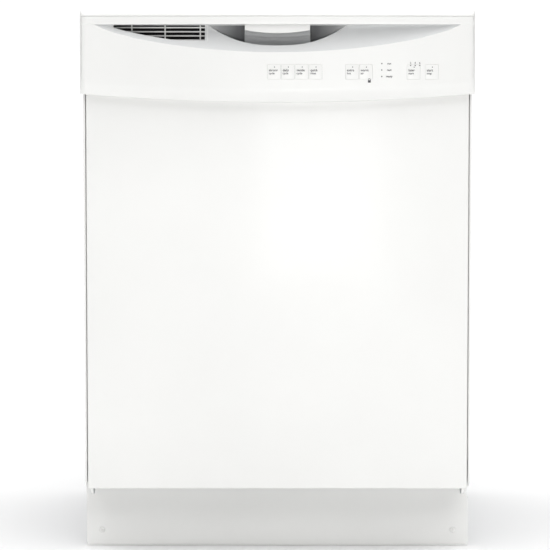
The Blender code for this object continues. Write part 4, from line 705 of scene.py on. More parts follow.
def make_buttons():
    """Flat button pads that follow the face, on their stems."""
    for name in BUTTON_NAMES:
        node = "button_" + name
        near, far = low(node), high(node)
        face = console_face((near.x + far.x) / 2)
        bm = bmesh.new()
        block(bm, (near.x, face, near.z), (far.x, face + 0.0045, far.z), 0.0004, 3)
        middle = (near + far) / 2
        rod(bm, (middle.x, face + 0.004, middle.z), (middle.x, far.y, middle.z), 0.003, 16)
        for vert in bm.verts:
            if vert.co.y < face + 0.002:
                vert.co.y += console_face(vert.co.x) - face
        as_piece(node + "_pad", bm, "white_plastic", node, (node,))


def letters(text, x, z, size, align="CENTER"):
    """Text as a flat mesh that stands upright on the face at x."""
    curve = bpy.data.curves.new("letters", "FONT")
    curve.body = text
    curve.size = size
    curve.align_x = align
    curve.offset = size * 0.02
    curve.align_y = "CENTER"
    curve.resolution_u = 3
    made = bpy.data.objects.new("letters", curve)
    bpy.context.scene.collection.objects.link(made)
    mesh = bpy.data.meshes.new_from_object(made.evaluated_get(bpy.context.evaluated_depsgraph_get()))
    bpy.data.objects.remove(made)
    mesh.transform(Matrix.Translation((x, 0, z)) @ Matrix.Rotation(math.pi / 2, 4, "X"))
    bm = bmesh.new()
    bm.from_mesh(mesh)
    return bm


def disc(bm, x, z, radius):
    """A flat disc that stands upright."""
    where = Matrix.Translation((x, 0, z)) @ Matrix.Rotation(math.pi / 2, 4, "X")
    bmesh.ops.create_circle(bm, cap_ends=True, segments=16, radius=radius, matrix=where)


def printed(name, bm, body, proud=0.00012):
    """Ink that follows the face's bow."""
    for vert in bm.verts:
        vert.co.y = console_face(vert.co.x) - proud
    made = as_piece(name, bm, "ink", body)
    modifier(made, "SOLIDIFY", thickness=0.00006, offset=1.0)


WORDS = {
    "heavy": ("strong", "cycle"),
    "normal": ("daily", "cycle"),
    "light": ("gentle", "cycle"),
    "rinse": ("quick", "rinse"),
    "hot": ("extra", "hot"),
    "dry": ("warm", "air"),
    "delay": ("later", "start"),
    "start": ("start", "stop"),
}


def make_prints():
    """The printed words, dots, digits and lock."""
    for name in BUTTON_NAMES:
        node = "button_" + name
        middle = (low(node).x + high(node).x) / 2
        bm = bmesh.new()
        disc(bm, middle + 0.0008, TOP - 0.0869, 0.0008)
        for i, word in enumerate(WORDS[name]):
            z = TOP - LABEL_DROP - LABEL_PITCH * i
            joined(bm, letters(word, low(node).x + 0.0022, z, LABEL_SIZES[i], "LEFT"))
        printed("print_" + name, bm, node, proud=0.00003)
    bm = bmesh.new()
    for i, word in enumerate(("run", "rest", "ready")):
        z = TOP - 0.0816 - 0.0098 * i
        disc(bm, 0.1596, z, 0.0010)
        joined(bm, letters(word, 0.1710, z, 0.0044))
    for i in range(3):
        x = 0.2038 + 0.0070 * i
        joined(bm, letters(str(2 * i + 2), x, TOP - 0.0805, 0.0036))
        disc(bm, x, TOP - 0.0842, 0.0009)
    lock = (0.1406, TOP - 0.1078)
    block(bm, (lock[0] - 0.0022, 0, lock[1] - 0.0028), (lock[0] + 0.0022, 0.0001, lock[1] + 0.0008))
    turns = [math.pi * i / 10 for i in range(11)]
    shackle = [(lock[0] + 0.0015 * math.cos(a), 0, lock[1] + 0.0018 + 0.0017 * math.sin(a)) for a in turns]
    path = [(lock[0] + 0.0015, 0, lock[1] + 0.0006)] + shackle + [(lock[0] - 0.0015, 0, lock[1] + 0.0006)]
    joined(bm, wires("shackle", [path], 0.00032, 1))
    printed("panel_print", bm, "door")


def make_vent():
    """The vent's slats, ribs and frame, and the seam beside it."""
    node = "vent_grille"
    near, far = low(node), high(node)
    bm = bmesh.new()
    bar = 0.0020
    front, back = near.y, far.y
    for i in range(5):
        z = LIP - 0.0027 - i * LOUVRE_PITCH
        block(bm, (near.x, front, z - bar), (far.x, back + 0.002, z), 0.0005)
    for x in VENT_RIBS:
        block(bm, (x - 0.0010, front - 0.0006, near.z), (x + 0.0010, back, far.z - 0.001), 0.0005)
    for x in (near.x, far.x - 0.0035):
        block(bm, (x, front, near.z), (x + 0.0035, back + 0.001, far.z), 0.0006)
    block(bm, (near.x, front, near.z), (far.x, back + 0.001, near.z + 0.002), 0.0006)
    as_piece("vent_louvres", bm, "white_plastic", "door", (node,))
    x = VENT_SEAM
    rise = scoop_high(x)
    shares = [i / 16 for i in range(5, 17)]
    seam = [(x, console_face(x) + scoop_deep(x, up) - 0.0001, LIP - rise * (1 - up)) for up in shares]
    as_piece("vent_seam", wires("seam", [seam], 0.0005, 2), "white_plastic", "door")


def make_pocket():
    """The finger pocket: its middle stands forward behind the handle, its ends run back and fade out."""
    side = [GRIP_HALF + 0.0005 + (POCKET_HALF + 0.001 - GRIP_HALF - 0.0005) * i / 20 for i in range(21)]
    middle = [GRIP_HALF * (i / 12 - 1) for i in range(25)]
    xs = [-x for x in reversed(side)] + middle + side
    rows = 29
    bm, across, along = shaped_grid(len(xs), rows)
    far = high("handle_pocket")
    places = []
    for x in xs:
        front = console_face(x) + WALL + scoop_deep(x, 1) + 0.0006
        ridged = abs(x) <= GRIP_HALF
        if ridged:
            rear = front + 0.0060
        else:
            share = (abs(x) - GRIP_HALF) / (POCKET_HALF + 0.001 - GRIP_HALF)
            rear = front + (far.y - 0.0008 - front) * (1 - share**1.4) + 0.0006
        bottom, roof = pocket_low(x) - 0.0008, LIP + 0.0020
        row = []
        for j in range(rows):
            t = j / (rows - 1)
            angle = math.pi / 2 * min(1.0, t / 0.4)
            y = front - 0.006 + (rear - front + 0.006) * math.sin(angle)
            z = bottom + (roof - bottom) * (1 - math.cos(angle)) * 0.20
            if t > 0.4:
                z = bottom + (roof - bottom) * (0.20 + 0.80 * (t - 0.4) / 0.6)
                if ridged:
                    y += 0.0005 * math.sin((t - 0.4) / 0.6 * math.pi * 8)
            row.append(Vector((x, y, z)))
        places.append(row)
    lay(bm, across, along, places)
    bmesh.ops.recalc_face_normals(bm, faces=bm.faces)
    made = as_piece("pocket_liner", bm, "pocket_plastic_painted_shade", "door", ("handle_pocket",))
    modifier(made, "SOLIDIFY", thickness=0.0012, offset=0.0)


def make_handle():
    """The latch handle: a thin tab with a curved lower edge on a pivot rod."""
    near, far = low("latch_handle"), high("latch_handle")
    half = far.x - 0.005
    front, count = near.y, 24
    pivot = far.z - 0.0019
    bm, across, along = shaped_grid(count + 1, 9)
    places = []
    for i in range(count + 1):
        x = half * (2 * i / count - 1)
        bottom = near.z + 0.0050 * (x / half) ** 2
        places.append([Vector((x, front, bottom + (far.z - bottom) * j / 8)) for j in range(9)])
    lay(bm, across, along, places)
    slab = bmesh.ops.extrude_face_region(bm, geom=bm.faces[:])
    moved = [item for item in slab["geom"] if isinstance(item, bmesh.types.BMVert)]
    bmesh.ops.translate(bm, verts=moved, vec=(0, 0.0032, 0))
    bmesh.ops.recalc_face_normals(bm, faces=bm.faces)
    rod(bm, (-far.x, far.y - 0.0016, pivot), (far.x, far.y - 0.0016, pivot), 0.0016, 16)
    block(bm, (-half, front + 0.002, pivot - 0.0016), (half, far.y, pivot + 0.0016), 0.0005)
    made = as_piece("handle_tab", bm, "white_plastic", "latch_handle", ("latch_handle",))
    modifier(made, "BEVEL", width=0.0009, segments=3, limit_method="ANGLE", angle_limit=math.radians(50))


# ---------------------------------------------------------------- door
def hinge_rooms():
    """Cutters that leave room for the hinges in the door's lower corners."""
    arm = high("hinge_arm_right")
    z = low("hinge_arm_right").z + 0.025 + 0.030
    made = []
    for side in (-1, 1):
        near = (side * (arm.x - 0.008), DOOR_Y + 0.0025, 0)
        made.append(cutter_block(near, (side * (HALF + 0.01), LINER_Y + 0.05, z)))
    return made


def make_door_skin():
    """The outer door panel: folded sheet, open at its back and top."""
    near, far = low("outer_door_panel"), high("outer_door_panel")
    bm = bmesh.new()
    block(bm, near, far)
    gone = [face for face in bm.faces if face.normal.y > 0.5 or face.normal.z > 0.5]
    bmesh.ops.delete(bm, geom=gone, context="FACES")
    edges = [edge for edge in bm.edges if len(edge.link_faces) == 2]
    softened(bm, edges, 0.0022, 5)
    faced(bm, lambda face: face.calc_area(), (0, -1, 0))
    made = loose("door_skin", bm)
    modifier(made, "SOLIDIFY", thickness=0.0012, offset=-1.0)
    carved(applied(made), *hinge_rooms())
    settled(made, "white_enamel", "door", ("outer_door_panel",), sharp=30)


def make_door_liner():
    """The inner panel: a moulded tray with a dished middle and a flat rim that the seal meets."""
    near, far, skin = low("inner_door_panel"), high("inner_door_panel"), high("outer_door_panel")
    bm = bmesh.new()
    block(bm, near, far)
    bmesh.ops.delete(bm, geom=[f for f in bm.faces if f.normal.y < -0.5], context="FACES")
    edges = [edge for edge in bm.edges if len(edge.link_faces) == 2]
    softened(bm, edges, 0.0030, 4)
    rim = max(bm.faces, key=lambda face: face.calc_area() * face.normal.y)
    bmesh.ops.inset_region(bm, faces=[rim], thickness=0.060, use_even_offset=True)
    bmesh.ops.inset_region(bm, faces=[rim], thickness=0.004, use_even_offset=True)
    floor = list(rim.verts)
    bmesh.ops.translate(bm, verts=floor, vec=(0, -0.020, 0))
    around = [edge for edge in bm.edges if edge.verts[0] in floor or edge.verts[1] in floor]
    softened(bm, around, 0.0035, 4)
    faced(bm, lambda face: face.calc_area(), (0, 1, 0))
    made = loose("door_liner", bm)
    modifier(made, "SOLIDIFY", thickness=0.0020, offset=-1.0)
    applied(made)
    cutters = hinge_rooms()
    rear = CONSOLE_REAR + 0.0005
    cutters.append(cutter_block((-1, -1, PANEL_TOP - 0.002), (1, rear, 1)))
    box_low, box_high = low("dispenser_housing"), high("dispenser_housing")
    gap = Vector((0.0005, 0.0005, 0.0005))
    cutters.append(cutter_block(box_low - gap, (box_high.x + 0.0005, LINER_Y + 0.01, box_high.z + 0.0005)))
    strike = (low("door_strike") + high("door_strike")) / 2
    z = low("door_strike").z + 0.001
    cutters.append(
        cutter_block(
            (strike.x - 0.016, LINER_Y - 0.01, z - 0.005), (strike.x + 0.016, LINER_Y + 0.01, z + 0.005),
            0.002,
        )
    )
    carved(made, *cutters)
    settled(made, "tub_plastic", "door", ("inner_door_panel",), sharp=30)
    made.data.materials.append(FINISHES["white_plastic"])
    for face in made.data.polygons:
        if abs(face.center.x) > far.x - 0.0032 and face.center.y < LINER_Y - 0.004:
            face.material_index = 1
    edge = bmesh.new()
    for sign in (-1, 1):
        block(
            edge, (sign * (skin.x - 0.0012), near.y - 0.0002, near.z),
            (sign * far.x, near.y + 0.0022, PANEL_TOP + 0.004), 0.0005, 2,
        )
        block(
            edge, (sign * (skin.x + 0.0016), near.y - 0.0085, near.z + 0.006),
            (sign * far.x, near.y + 0.001, PANEL_TOP + 0.004), 0.0008, 3,
        )
    as_piece("door_edging", edge, "white_plastic", "door")
    ribs = bmesh.new()
    for z in (0.22, 0.30, 0.52, 0.60, 0.68):
        block(ribs, (-0.17, LINER_Y - 0.0205, z), (0.17, LINER_Y - 0.0165, z + 0.010), 0.0035, 3)
    as_piece("liner_ribs", ribs, "tub_plastic", "door")


def make_dispenser():
    """The dispenser's body, the detergent lid with its grip, and the fluted rinse aid cap."""
    refined("dispenser_housing", "grey_plastic", "door", 0.0010, 3)
    near, far = low("dispenser_lid"), high("dispenser_lid")
    face = far.y - 0.002
    bm = bmesh.new()
    block(bm, (near.x, near.y, near.z), (far.x, face, far.z - 0.0005), 0.0015, 3)
    block(
        bm, (near.x + 0.010, face - 0.001, near.z + 0.012), (far.x - 0.010, face + 0.0012, far.z - 0.012),
        0.0009,
    )
    for i in range(6):
        x = (near.x + far.x) / 2 - 0.0125 + i * 0.005
        block(
            bm, (x - 0.001, face - 0.001, near.z + 0.002), (x + 0.001, face + 0.0016, near.z + 0.009),
            0.0006,
        )
    rod(bm, (near.x, face, far.z - 0.002), (far.x, face, far.z - 0.002), 0.002, 20)
    as_piece("detergent_lid", bm, "grey_plastic", "dispenser_lid", ("dispenser_lid",))
    near, far = low("rinse_aid_cap"), high("rinse_aid_cap")
    middle = (near + far) / 2
    radius = (far.x - near.x) / 2
    bm = bmesh.new()
    height = far.y - near.y - 0.005
    profile = [
        (0, 0), (radius - 0.001, 0), (radius, 0.001), (radius, height - 0.002), (radius - 0.002, height),
        (radius - 0.005, height),
    ]
    profile += [(radius - 0.006, height - 0.001), (0, height - 0.001)]
    turned(bm, profile, (middle.x, near.y, middle.z), (0, 1, 0), 56)
    block(
        bm, (middle.x - radius * 0.8, near.y + height - 0.003, middle.z - 0.003),
        (middle.x + radius * 0.8, far.y, middle.z + 0.003), 0.0018, 3,
    )
    for i in range(24):
        angle = math.tau * i / 24
        where = (middle.x + radius * 0.985 * math.cos(angle), 0, middle.z + radius * 0.985 * math.sin(angle))
        rod(
            bm, (where[0], near.y + 0.009, where[2]), (where[0], near.y + height - 0.002, where[2]),
            0.0008, 8,
        )
    as_piece("rinse_cap", bm, "blue_plastic", "rinse_aid_cap", ("rinse_aid_cap",))


def make_hinges():
    """Hinge arms, and springs with hooks at both ends and a cable to the door."""
    for word in ("left", "right"):
        arm = refined("hinge_arm_" + word, "galvanised", "door", 0.0004)
        arm.data.materials.append(FINISHES["white_enamel"])
        for face in arm.data.polygons:
            if face.center.z < TOE_TOP or face.center.y < DOOR_Y + 0.006:
                face.material_index = 1
        node = "door_spring_" + word
        near, far = low(node), high(node)
        x, z = (near.x + far.x) / 2, (near.z + far.z) / 2
        start, end = far.y - 0.030 - 0.170, far.y - 0.030
        turns, radius = 34, 0.0050
        coil = []
        steps = turns * 14
        for i in range(steps + 1):
            angle = math.tau * turns * i / steps
            y = start + (end - start) * i / steps
            coil.append((x + radius * math.cos(angle), y, z + radius * math.sin(angle)))
        hooks = []
        for middle, way in ((start, -1), (end, 1)):
            bends = [math.pi * k / 12 for k in range(-6, 19)]
            hooks.append(
                [(x, middle + way * (0.005 - 0.005 * math.cos(a)), z + 0.005 * math.sin(a)) for a in bends]
            )
        bm = wires("coil", [coil] + hooks, 0.0009, 2)
        joined(bm, wires("tail", [[(x, end + 0.008, z), (x, far.y, z)]], 0.0014, 3))
        joined(bm, wires("cable", [[(x, near.y, z), (x, start - 0.008, z)]], 0.0011, 3))
        rod(bm, (x, start - 0.016, z), (x, start - 0.006, z), 0.0020, 16)
        as_piece("spring_coil_" + word, bm, "stainless", "cabinet", (node,), sharp=60)


# ---------------------------------------------------------------- tub and its frame
def make_tub():
    """The tub with its mouth's flange, wheel ledges and side ribs, and the seal round its mouth."""
    near, far = low("tub"), high("tub")
    side, top = high("insulation_blanket").x - 0.0075, high("insulation_blanket").z - 0.0075
    bm = bmesh.new()
    block(bm, (-side, near.y, near.z), (side, far.y, top))
    bmesh.ops.delete(bm, geom=[f for f in bm.faces if f.normal.y < -0.5], context="FACES")
    edges = [edge for edge in bm.edges if len(edge.link_faces) == 2]
    softened(bm, edges, 0.020, 6)
    mouth = [edge for edge in bm.edges if edge.is_boundary]
    out = bmesh.ops.extrude_edge_only(bm, edges=mouth)["geom"]
    for vert in [item for item in out if isinstance(item, bmesh.types.BMVert)]:
        if vert.co.z > near.z + 0.03:
            vert.co.x += math.copysign(0.006, vert.co.x) * min(1.0, abs(vert.co.x) / side)
        if vert.co.z > top - 0.03:
            vert.co.z += 0.006
    bmesh.ops.remove_doubles(bm, verts=bm.verts, dist=0.0002)
    bmesh.ops.dissolve_degenerate(bm, edges=bm.edges, dist=0.00005)
    faced(bm, lambda face: face.calc_center_median().y, (0, 1, 0))
    made = loose("tub_shell", bm)
    modifier(made, "SOLIDIFY", thickness=0.003, offset=-1.0)
    applied(made)
    bm = bmesh.new()
    ledge = low("lower_wheel_front_right").z - 0.0005
    for sign in (-1, 1):
        block(
            bm, (sign * 0.244, near.y + 0.002, near.z + 0.002),
            (sign * (side - 0.001), far.y - 0.002, ledge), 0.004, 3,
        )
    block(
        bm, (-side + 0.002, near.y + 0.0004, near.z + 0.001),
        (side - 0.002, near.y + 0.0034, near.z + 0.016), 0.001,
    )
    for sign in (-1, 1):
        for z in (0.36, 0.66):
            block(
                bm, (sign * (side - 0.0045), near.y + 0.03, z),
                (sign * (side - 0.001), far.y - 0.02, z + 0.012), 0.0014, 3,
            )
    additions = loose("tub_additions", bm)
    floor_cut = cutter_rod((0, ARM_Y, near.z - 0.02), (0, ARM_Y, near.z + 0.03), 0.090, 64)
    carved(made, floor_cut)
    conduit = low("spray_conduit"), high("spray_conduit")
    holes = [
        cutter_rod(
            (0, conduit[1].y - 0.011, near.z - 0.02), (0, conduit[1].y - 0.011, near.z + 0.03), 0.0115, 32
        )
    ]
    floats = (low("float_cap") + high("float_cap")) / 2
    holes.append(
        cutter_rod((floats.x, floats.y, near.z - 0.02), (floats.x, floats.y, near.z + 0.03), 0.0048, 24)
    )
    for sign in (-1, 1):
        y = low("heater_element").y + 0.004
        holes.append(
            cutter_rod((sign * 0.030, y, near.z - 0.02), (sign * 0.030, y, near.z + 0.03), 0.0045, 24)
        )
    carved(made, *holes)
    settled(made, "tub_plastic", "cabinet", ("tub",), sharp=35)
    settled(additions, "tub_plastic", "cabinet")
    near, far = low("tub_gasket"), high("tub_gasket")
    radius = (far.y - near.y) / 2
    y, x = (near.y + far.y) / 2, far.x - radius
    corners = [(-x, y, near.z), (-x, y, far.z - radius), (x, y, far.z - radius), (x, y, near.z)]
    bm = wires("seal", [rounded(corners, 0.026, 8)], radius * 0.86, 4)
    lips = [(cx * 1.006, y + 0.0022, cz + (0.0015 if cz > near.z else 0)) for cx, _, cz in corners]
    joined(bm, wires("seal_foot", [rounded(lips, 0.026, 8)], radius * 0.5, 3))
    as_piece("door_seal", bm, "rubber", "cabinet", ("tub_gasket",), sharp=60)


def quilt(point, pitch=0.13):
    """Puffed height of a quilted pad at a point, in metres."""
    share = 1.0
    for value in point:
        share *= min(1.0, abs(math.sin(math.pi * value / pitch)) * 3.0) ** 0.6
    return share


def make_blanket():
    """The sound blanket: soft felt over the tub's sides, top and back, tied down in squares."""
    near, far = low("insulation_blanket"), high("insulation_blanket")
    bm = bmesh.new()
    block(bm, (near.x + 0.001, near.y, near.z), (far.x - 0.001, far.y - 0.001, far.z - 0.001))
    gone = [f for f in bm.faces if f.normal.y < -0.5 or f.normal.z < -0.5]
    bmesh.ops.delete(bm, geom=gone, context="FACES")
    bmesh.ops.subdivide_edges(bm, edges=bm.edges[:], cuts=47, use_grid_fill=True)
    smoothed(bm, [vert for vert in bm.verts if not vert.is_boundary], 6)
    faced(bm, lambda face: face.calc_center_median().z, (0, 0, 1))
    bm.normal_update()
    moves = []
    for vert in bm.verts:
        n = vert.normal
        flat = [value for value, way in zip(vert.co, n) if abs(way) < 0.7]
        wave = noise.noise(vert.co * 9.0)
        moves.append((vert, n * (0.0018 * quilt(flat[:2]) + 0.0012 * wave - 0.0008)))
    for vert, move in moves:
        vert.co += move
    made = as_piece("sound_blanket", bm, "blanket", "cabinet", ("insulation_blanket",), sharp=80)
    modifier(made, "SOLIDIFY", thickness=0.0050, offset=-1.0)
    near, far = low("door_insulation"), high("door_insulation")
    bm = bmesh.new()
    block(bm, near + Vector((0.002, 0.001, 0.002)), far - Vector((0.002, 0.001, 0.002)))
    bmesh.ops.subdivide_edges(bm, edges=bm.edges[:], cuts=21, use_grid_fill=True)
    smoothed(bm, bm.verts, 4)
    for vert in bm.verts:
        vert.co += vert.normal * 0.0006 * noise.noise(vert.co * 14.0)
    made = loose("door_pad", bm)
    box_low, box_high = low("dispenser_housing"), high("dispenser_housing")
    gap = Vector((0.004, 0.004, 0.004))
    carved(made, cutter_block(box_low - gap, box_high + Vector((0.004, 0.05, 0.004)), 0.004, 2))
    settled(made, "blanket", "door", ("door_insulation",), sharp=60)


def make_steelwork():
    """Frames, toe kick, rails and the other plain parts with softened edges, and the toe screws."""
    for node in ("base_frame", "tub_frame", "junction_box"):
        refined(node, "galvanised", "cabinet", 0.0005)
    refined("door_strike", "stainless", "cabinet", 0.0004)
    refined("toe_kick", "white_enamel", "cabinet", 0.0005, 3)
    near, far = low("toe_kick"), high("toe_kick")
    bm = bmesh.new()
    block(
        bm, (near.x + 0.0006, near.y + 0.0004, 0.0004), (far.x - 0.0006, near.y + 0.0016, near.z + 0.006),
        0.0004,
    )
    as_piece("toe_skirt", bm, "white_enamel", "cabinet")
    refined("latch_housing", "grey_plastic", "door", 0.0004)
    # The vent duct's black is partly its own colour and partly painted shade: it makes the vent's slots show
    # dark.
    refined("vent_duct", "dark_plastic", "door", 0.0006)
    for word in ("left", "right"):
        refined("upper_rail_" + word, "stainless", "upper_rails", 0.0005)
        refined("rack_guide_" + word, "grey_plastic", "cabinet", 0.0008)
        node = "toe_screw_" + word
        near, far = low(node), high(node)
        x, z = (near.x + far.x) / 2, (near.z + far.z) / 2
        head = far.y - 0.010
        bm = bmesh.new()
        profile = [
            (0, 0), (0.0030, 0.0001), (0.0042, 0.0008), (0.0045, 0.0016), (0.0045, 0.0018), (0.0020, 0.0018)
        ]
        profile += [(0.0020, far.y - near.y), (0, far.y - near.y)]
        turned(bm, profile, (x, near.y, z), (0, 1, 0), 32)
        made = loose("screw_" + word, bm)
        slots = [
            cutter_block((x - 0.0022, head - 0.01, z - 0.0004), (x + 0.0022, near.y + 0.0009, z + 0.0004))
        ]
        slots.append(
            cutter_block((x - 0.0004, head - 0.01, z - 0.0022), (x + 0.0004, near.y + 0.0009, z + 0.0022))
        )
        carved(made, *slots)
        settled(made, "white_enamel", "cabinet", (node,))


def make_legs():
    """Threaded levelling legs, each with a flange foot and a hexagon."""
    for word in CORNERS:
        node = "levelling_leg_" + word
        near, far = low(node), high(node)
        x, y = (near.x + far.x) / 2, (near.y + far.y) / 2
        bm = bmesh.new()
        profile = [(0, far.z), (0.0034, far.z)]
        pitch, foot = 0.00125, 0.0115
        count = int((far.z - foot) / pitch)
        for i in range(count):
            z = far.z - 0.0002 - i * pitch
            profile += [(0.0040, z - pitch * 0.3), (0.0033, z - pitch * 0.8)]
        profile += [
            (0.0040, foot), (0.0060, 0.0100), (0.0120, 0.0095), (0.0145, 0.0065), (0.0150, 0.0040),
            (0.0148, 0.0), (0, 0),
        ]
        turned(bm, profile, (x, y, 0), steps=40)
        rod(bm, (x, y, 0.0230), (x, y, 0.0292), 0.0080, 6)
        as_piece("foot_" + word, bm, "galvanised", "cabinet", (node,))


# ---------------------------------------------------------------- wash system
def make_heater():
    """The heating element's loop and the clips that carry it."""
    near, far = low("heater_element"), high("heater_element")
    radius = 0.004
    x, z = far.x - radius, far.z - radius
    front, back = near.y + radius + 0.025, far.y - radius
    start = near.y + radius
    points = [(-0.030, start, near.z), (-0.030, start, z), (-0.050, front, z), (-x, front, z), (-x, back, z)]
    points += [(-px, py, pz) for px, py, pz in reversed(points)]
    bm = wires("element", [rounded(points, 0.055, 10)], radius, 4)
    as_piece("heater_loop", bm, "heater", "cabinet", ("heater_element",), sharp=60)
    bm = bmesh.new()
    floor = low("sump_filter").z + 0.003
    for px in (-x, x):
        for py in (-0.05, 0.13):
            block(bm, (px - 0.007, py - 0.004, floor), (px + 0.007, py + 0.004, z - radius - 0.0003), 0.001)
            arms = [(px - 0.0062, px - 0.0046), (px + 0.0046, px + 0.0062)]
            for a, b in arms:
                block(bm, (a, py - 0.003, z - radius - 0.001), (b, py + 0.003, z + 0.0035), 0.0005)
    as_piece("heater_clips", bm, "grey_plastic", "cabinet")


def make_conduit():
    """The pipe that feeds both spray arms, clipped up the tub's back."""
    near, far = low("spray_conduit"), high("spray_conduit")
    radius = 0.011
    y, top = far.y - radius, far.z - radius
    path = rounded([(0, y, near.z), (0, y, top), (0, ARM_Y, top)], 0.034, 10)
    bm = wires("pipe", [path], radius, 5)
    dock = low("upper_rack")
    feed = high("upper_rack").y + 0.0008
    z = dock.z + 0.0266
    rod(bm, (0, y, z), (0, feed + 0.004, z), 0.0070, 32)
    rod(bm, (0, feed + 0.012, z), (0, feed, z), 0.0072, 32, 0.0084)
    profile = [
        (0, 0.002), (0.012, 0.002), (0.019, -0.004), (0.020, -0.010), (0.020, -0.0225), (0.017, -0.0245),
        (0.006, -0.0235), (0, -0.022),
    ]
    turned(bm, profile, (0, ARM_Y, top), steps=40)
    for k in range(6):
        height = 0.20 + 0.10 * k
        block(bm, (-0.015, y - 0.005, height), (0.015, y + 0.0115, height + 0.006), 0.001)
    as_piece("spray_riser", bm, "grey_plastic", "cabinet", ("spray_conduit",), sharp=50)


def make_filter():
    """The filter's hub, ring and gauze cone, and the float's dome."""
    near, far = low("sump_filter"), high("sump_filter")
    base = near.z + 0.022
    post = far.z - 0.004
    bm = bmesh.new()
    arm = low("lower_spray_arm").z
    profile = [
        (0, far.z), (0.006, far.z - 0.0004), (0.0110, far.z - 0.002), (0.0118, post - 0.001), (0.0118, post)
    ]
    profile += [
        (0.0078, post), (0.0078, arm - 0.0010), (0.0200, arm - 0.0010), (0.0215, arm - 0.004),
        (0.0235, base + 0.016),
    ]
    profile += [(0.0280, base + 0.0135), (0.0300, base + 0.0130), (0.0300, base + 0.002), (0, base + 0.002)]
    turned(bm, profile, (0, ARM_Y, 0))
    radius = far.x
    ring = [
        (radius - 0.010, base + 0.0045), (radius - 0.003, base + 0.0040), (radius, base + 0.0025),
        (radius, base - 0.0030),
    ]
    ring += [
        (radius - 0.004, base - 0.0030), (radius - 0.004, base), (radius - 0.010, base + 0.001),
        (radius - 0.010, base + 0.0045),
    ]
    turned(bm, ring, (0, ARM_Y, 0), steps=72)
    for i in range(8):
        angle = math.tau * i / 8
        way = Vector((math.cos(angle), math.sin(angle), 0))
        foot = Vector((0, ARM_Y, base + 0.0072)) + way * 0.027
        end = Vector((0, ARM_Y, base + 0.0036)) + way * (radius - 0.006)
        rod(bm, foot, end, 0.0018, 8)
    as_piece("filter_ring", bm, "grey_plastic", "cabinet", ("sump_filter",), sharp=40)
    bm = bmesh.new()
    cone = [
        (0.0290, base + 0.0098), (0.050, base + 0.0068), (radius - 0.008, base + 0.0030),
        (radius - 0.008, base + 0.0018),
    ]
    cone += [(0.050, base + 0.0052), (0.0290, base + 0.0080), (0.0290, base + 0.0098)]
    turned(bm, cone, (0, ARM_Y, 0), steps=72)
    as_piece("filter_screen", bm, "gauze", "cabinet")
    near, far = low("float_cap"), high("float_cap")
    middle = (near + far) / 2
    radius = (far.x - near.x) / 2
    skirt = far.z - 0.036
    profile = [
        (0, far.z), (radius * 0.35, far.z - 0.0006), (radius * 0.7, far.z - 0.004),
        (radius * 0.92, far.z - 0.010), (radius, far.z - 0.018),
    ]
    profile += [
        (radius, skirt), (radius - 0.002, skirt), (radius - 0.002, far.z - 0.018), (0.004, far.z - 0.014),
        (0.004, near.z), (0, near.z),
    ]
    bm = bmesh.new()
    turned(bm, profile, (middle.x, middle.y, 0))
    for i in range(10):
        angle = math.tau * i / 10
        where = (middle.x + radius * math.cos(angle), middle.y + radius * math.sin(angle))
        rod(bm, (*where, skirt + 0.0002), (*where, far.z - 0.020), 0.0008, 8)
    as_piece("float_dome", bm, "grey_plastic", "float_cap", ("float_cap",), sharp=40)


JET_PLACES = (-0.20, -0.165, -0.125, -0.085, -0.045, 0.045, 0.085, 0.125, 0.165, 0.20)


def spray_arm(node, finish_name):
    """A moulded arm with swept blades, a domed hub and a row of slotted jets."""
    near, far = low(node), high(node)
    reach, middle = far.x, (near.z + far.z) / 2
    bm = bmesh.new()
    block(bm, (-reach, -0.018, -0.0065), (reach, 0.018, 0.0065))
    long_edges = [e for e in bm.edges if abs((e.verts[0].co - e.verts[1].co).x) > 0.1]
    bmesh.ops.subdivide_edges(bm, edges=long_edges, cuts=40)
    for vert in bm.verts:
        share = abs(vert.co.x) / reach
        vert.co.y *= 1.0 - 0.40 * share**1.5
        vert.co.z *= 1.0 - 0.42 * share
        if share > 0.995:
            vert.co.y *= 0.62
        vert.co.y += ARM_Y + 0.0020 * math.sin(vert.co.x / reach * math.pi)
        vert.co.z += middle
    edges = [e for e in bm.edges if e.calc_face_angle(0) > math.radians(40)]
    softened(bm, edges, 0.0030, 4)
    made = loose(node + "_body", bm)
    hub = bmesh.new()
    radius = 0.021
    rise = (far.z - near.z) / 2
    profile = [
        (0, rise), (0.012, rise), (radius - 0.003, rise - 0.0010), (radius, rise - 0.003),
        (radius, -rise + 0.002), (radius - 0.002, -rise), (0, -rise),
    ]
    turned(hub, profile, (0, ARM_Y, middle))
    carved(made, loose("hub", hub), operation="UNION")
    carved(made, cutter_rod((0, ARM_Y, near.z - 0.01), (0, ARM_Y, far.z + 0.01), 0.0090, 40))
    settled(made, finish_name, node, (node,), sharp=40)
    jets, mouths = bmesh.new(), bmesh.new()
    ring = [(0.0018, -0.001), (0.0018, 0.0009), (0.0032, 0.0009), (0.0040, -0.001), (0.0018, -0.001)]
    for i, x in enumerate(JET_PLACES):
        z = middle + 0.0065 * (1 - 0.42 * abs(x) / reach)
        y = ARM_Y + 0.0020 * math.sin(x / reach * math.pi) + (0.003 if i % 2 else -0.003)
        turned(jets, ring, (x, y, z), steps=16)
        # Dark discs in the jets' rings: painted shade inside the jet holes.
        rod(mouths, (x, y, z - 0.001), (x, y, z + 0.0002), 0.0018, 12)
    as_piece(node + "_jets", jets, finish_name, node)
    as_piece(node + "_jet_mouths_painted_shade", mouths, "dark_plastic", node)


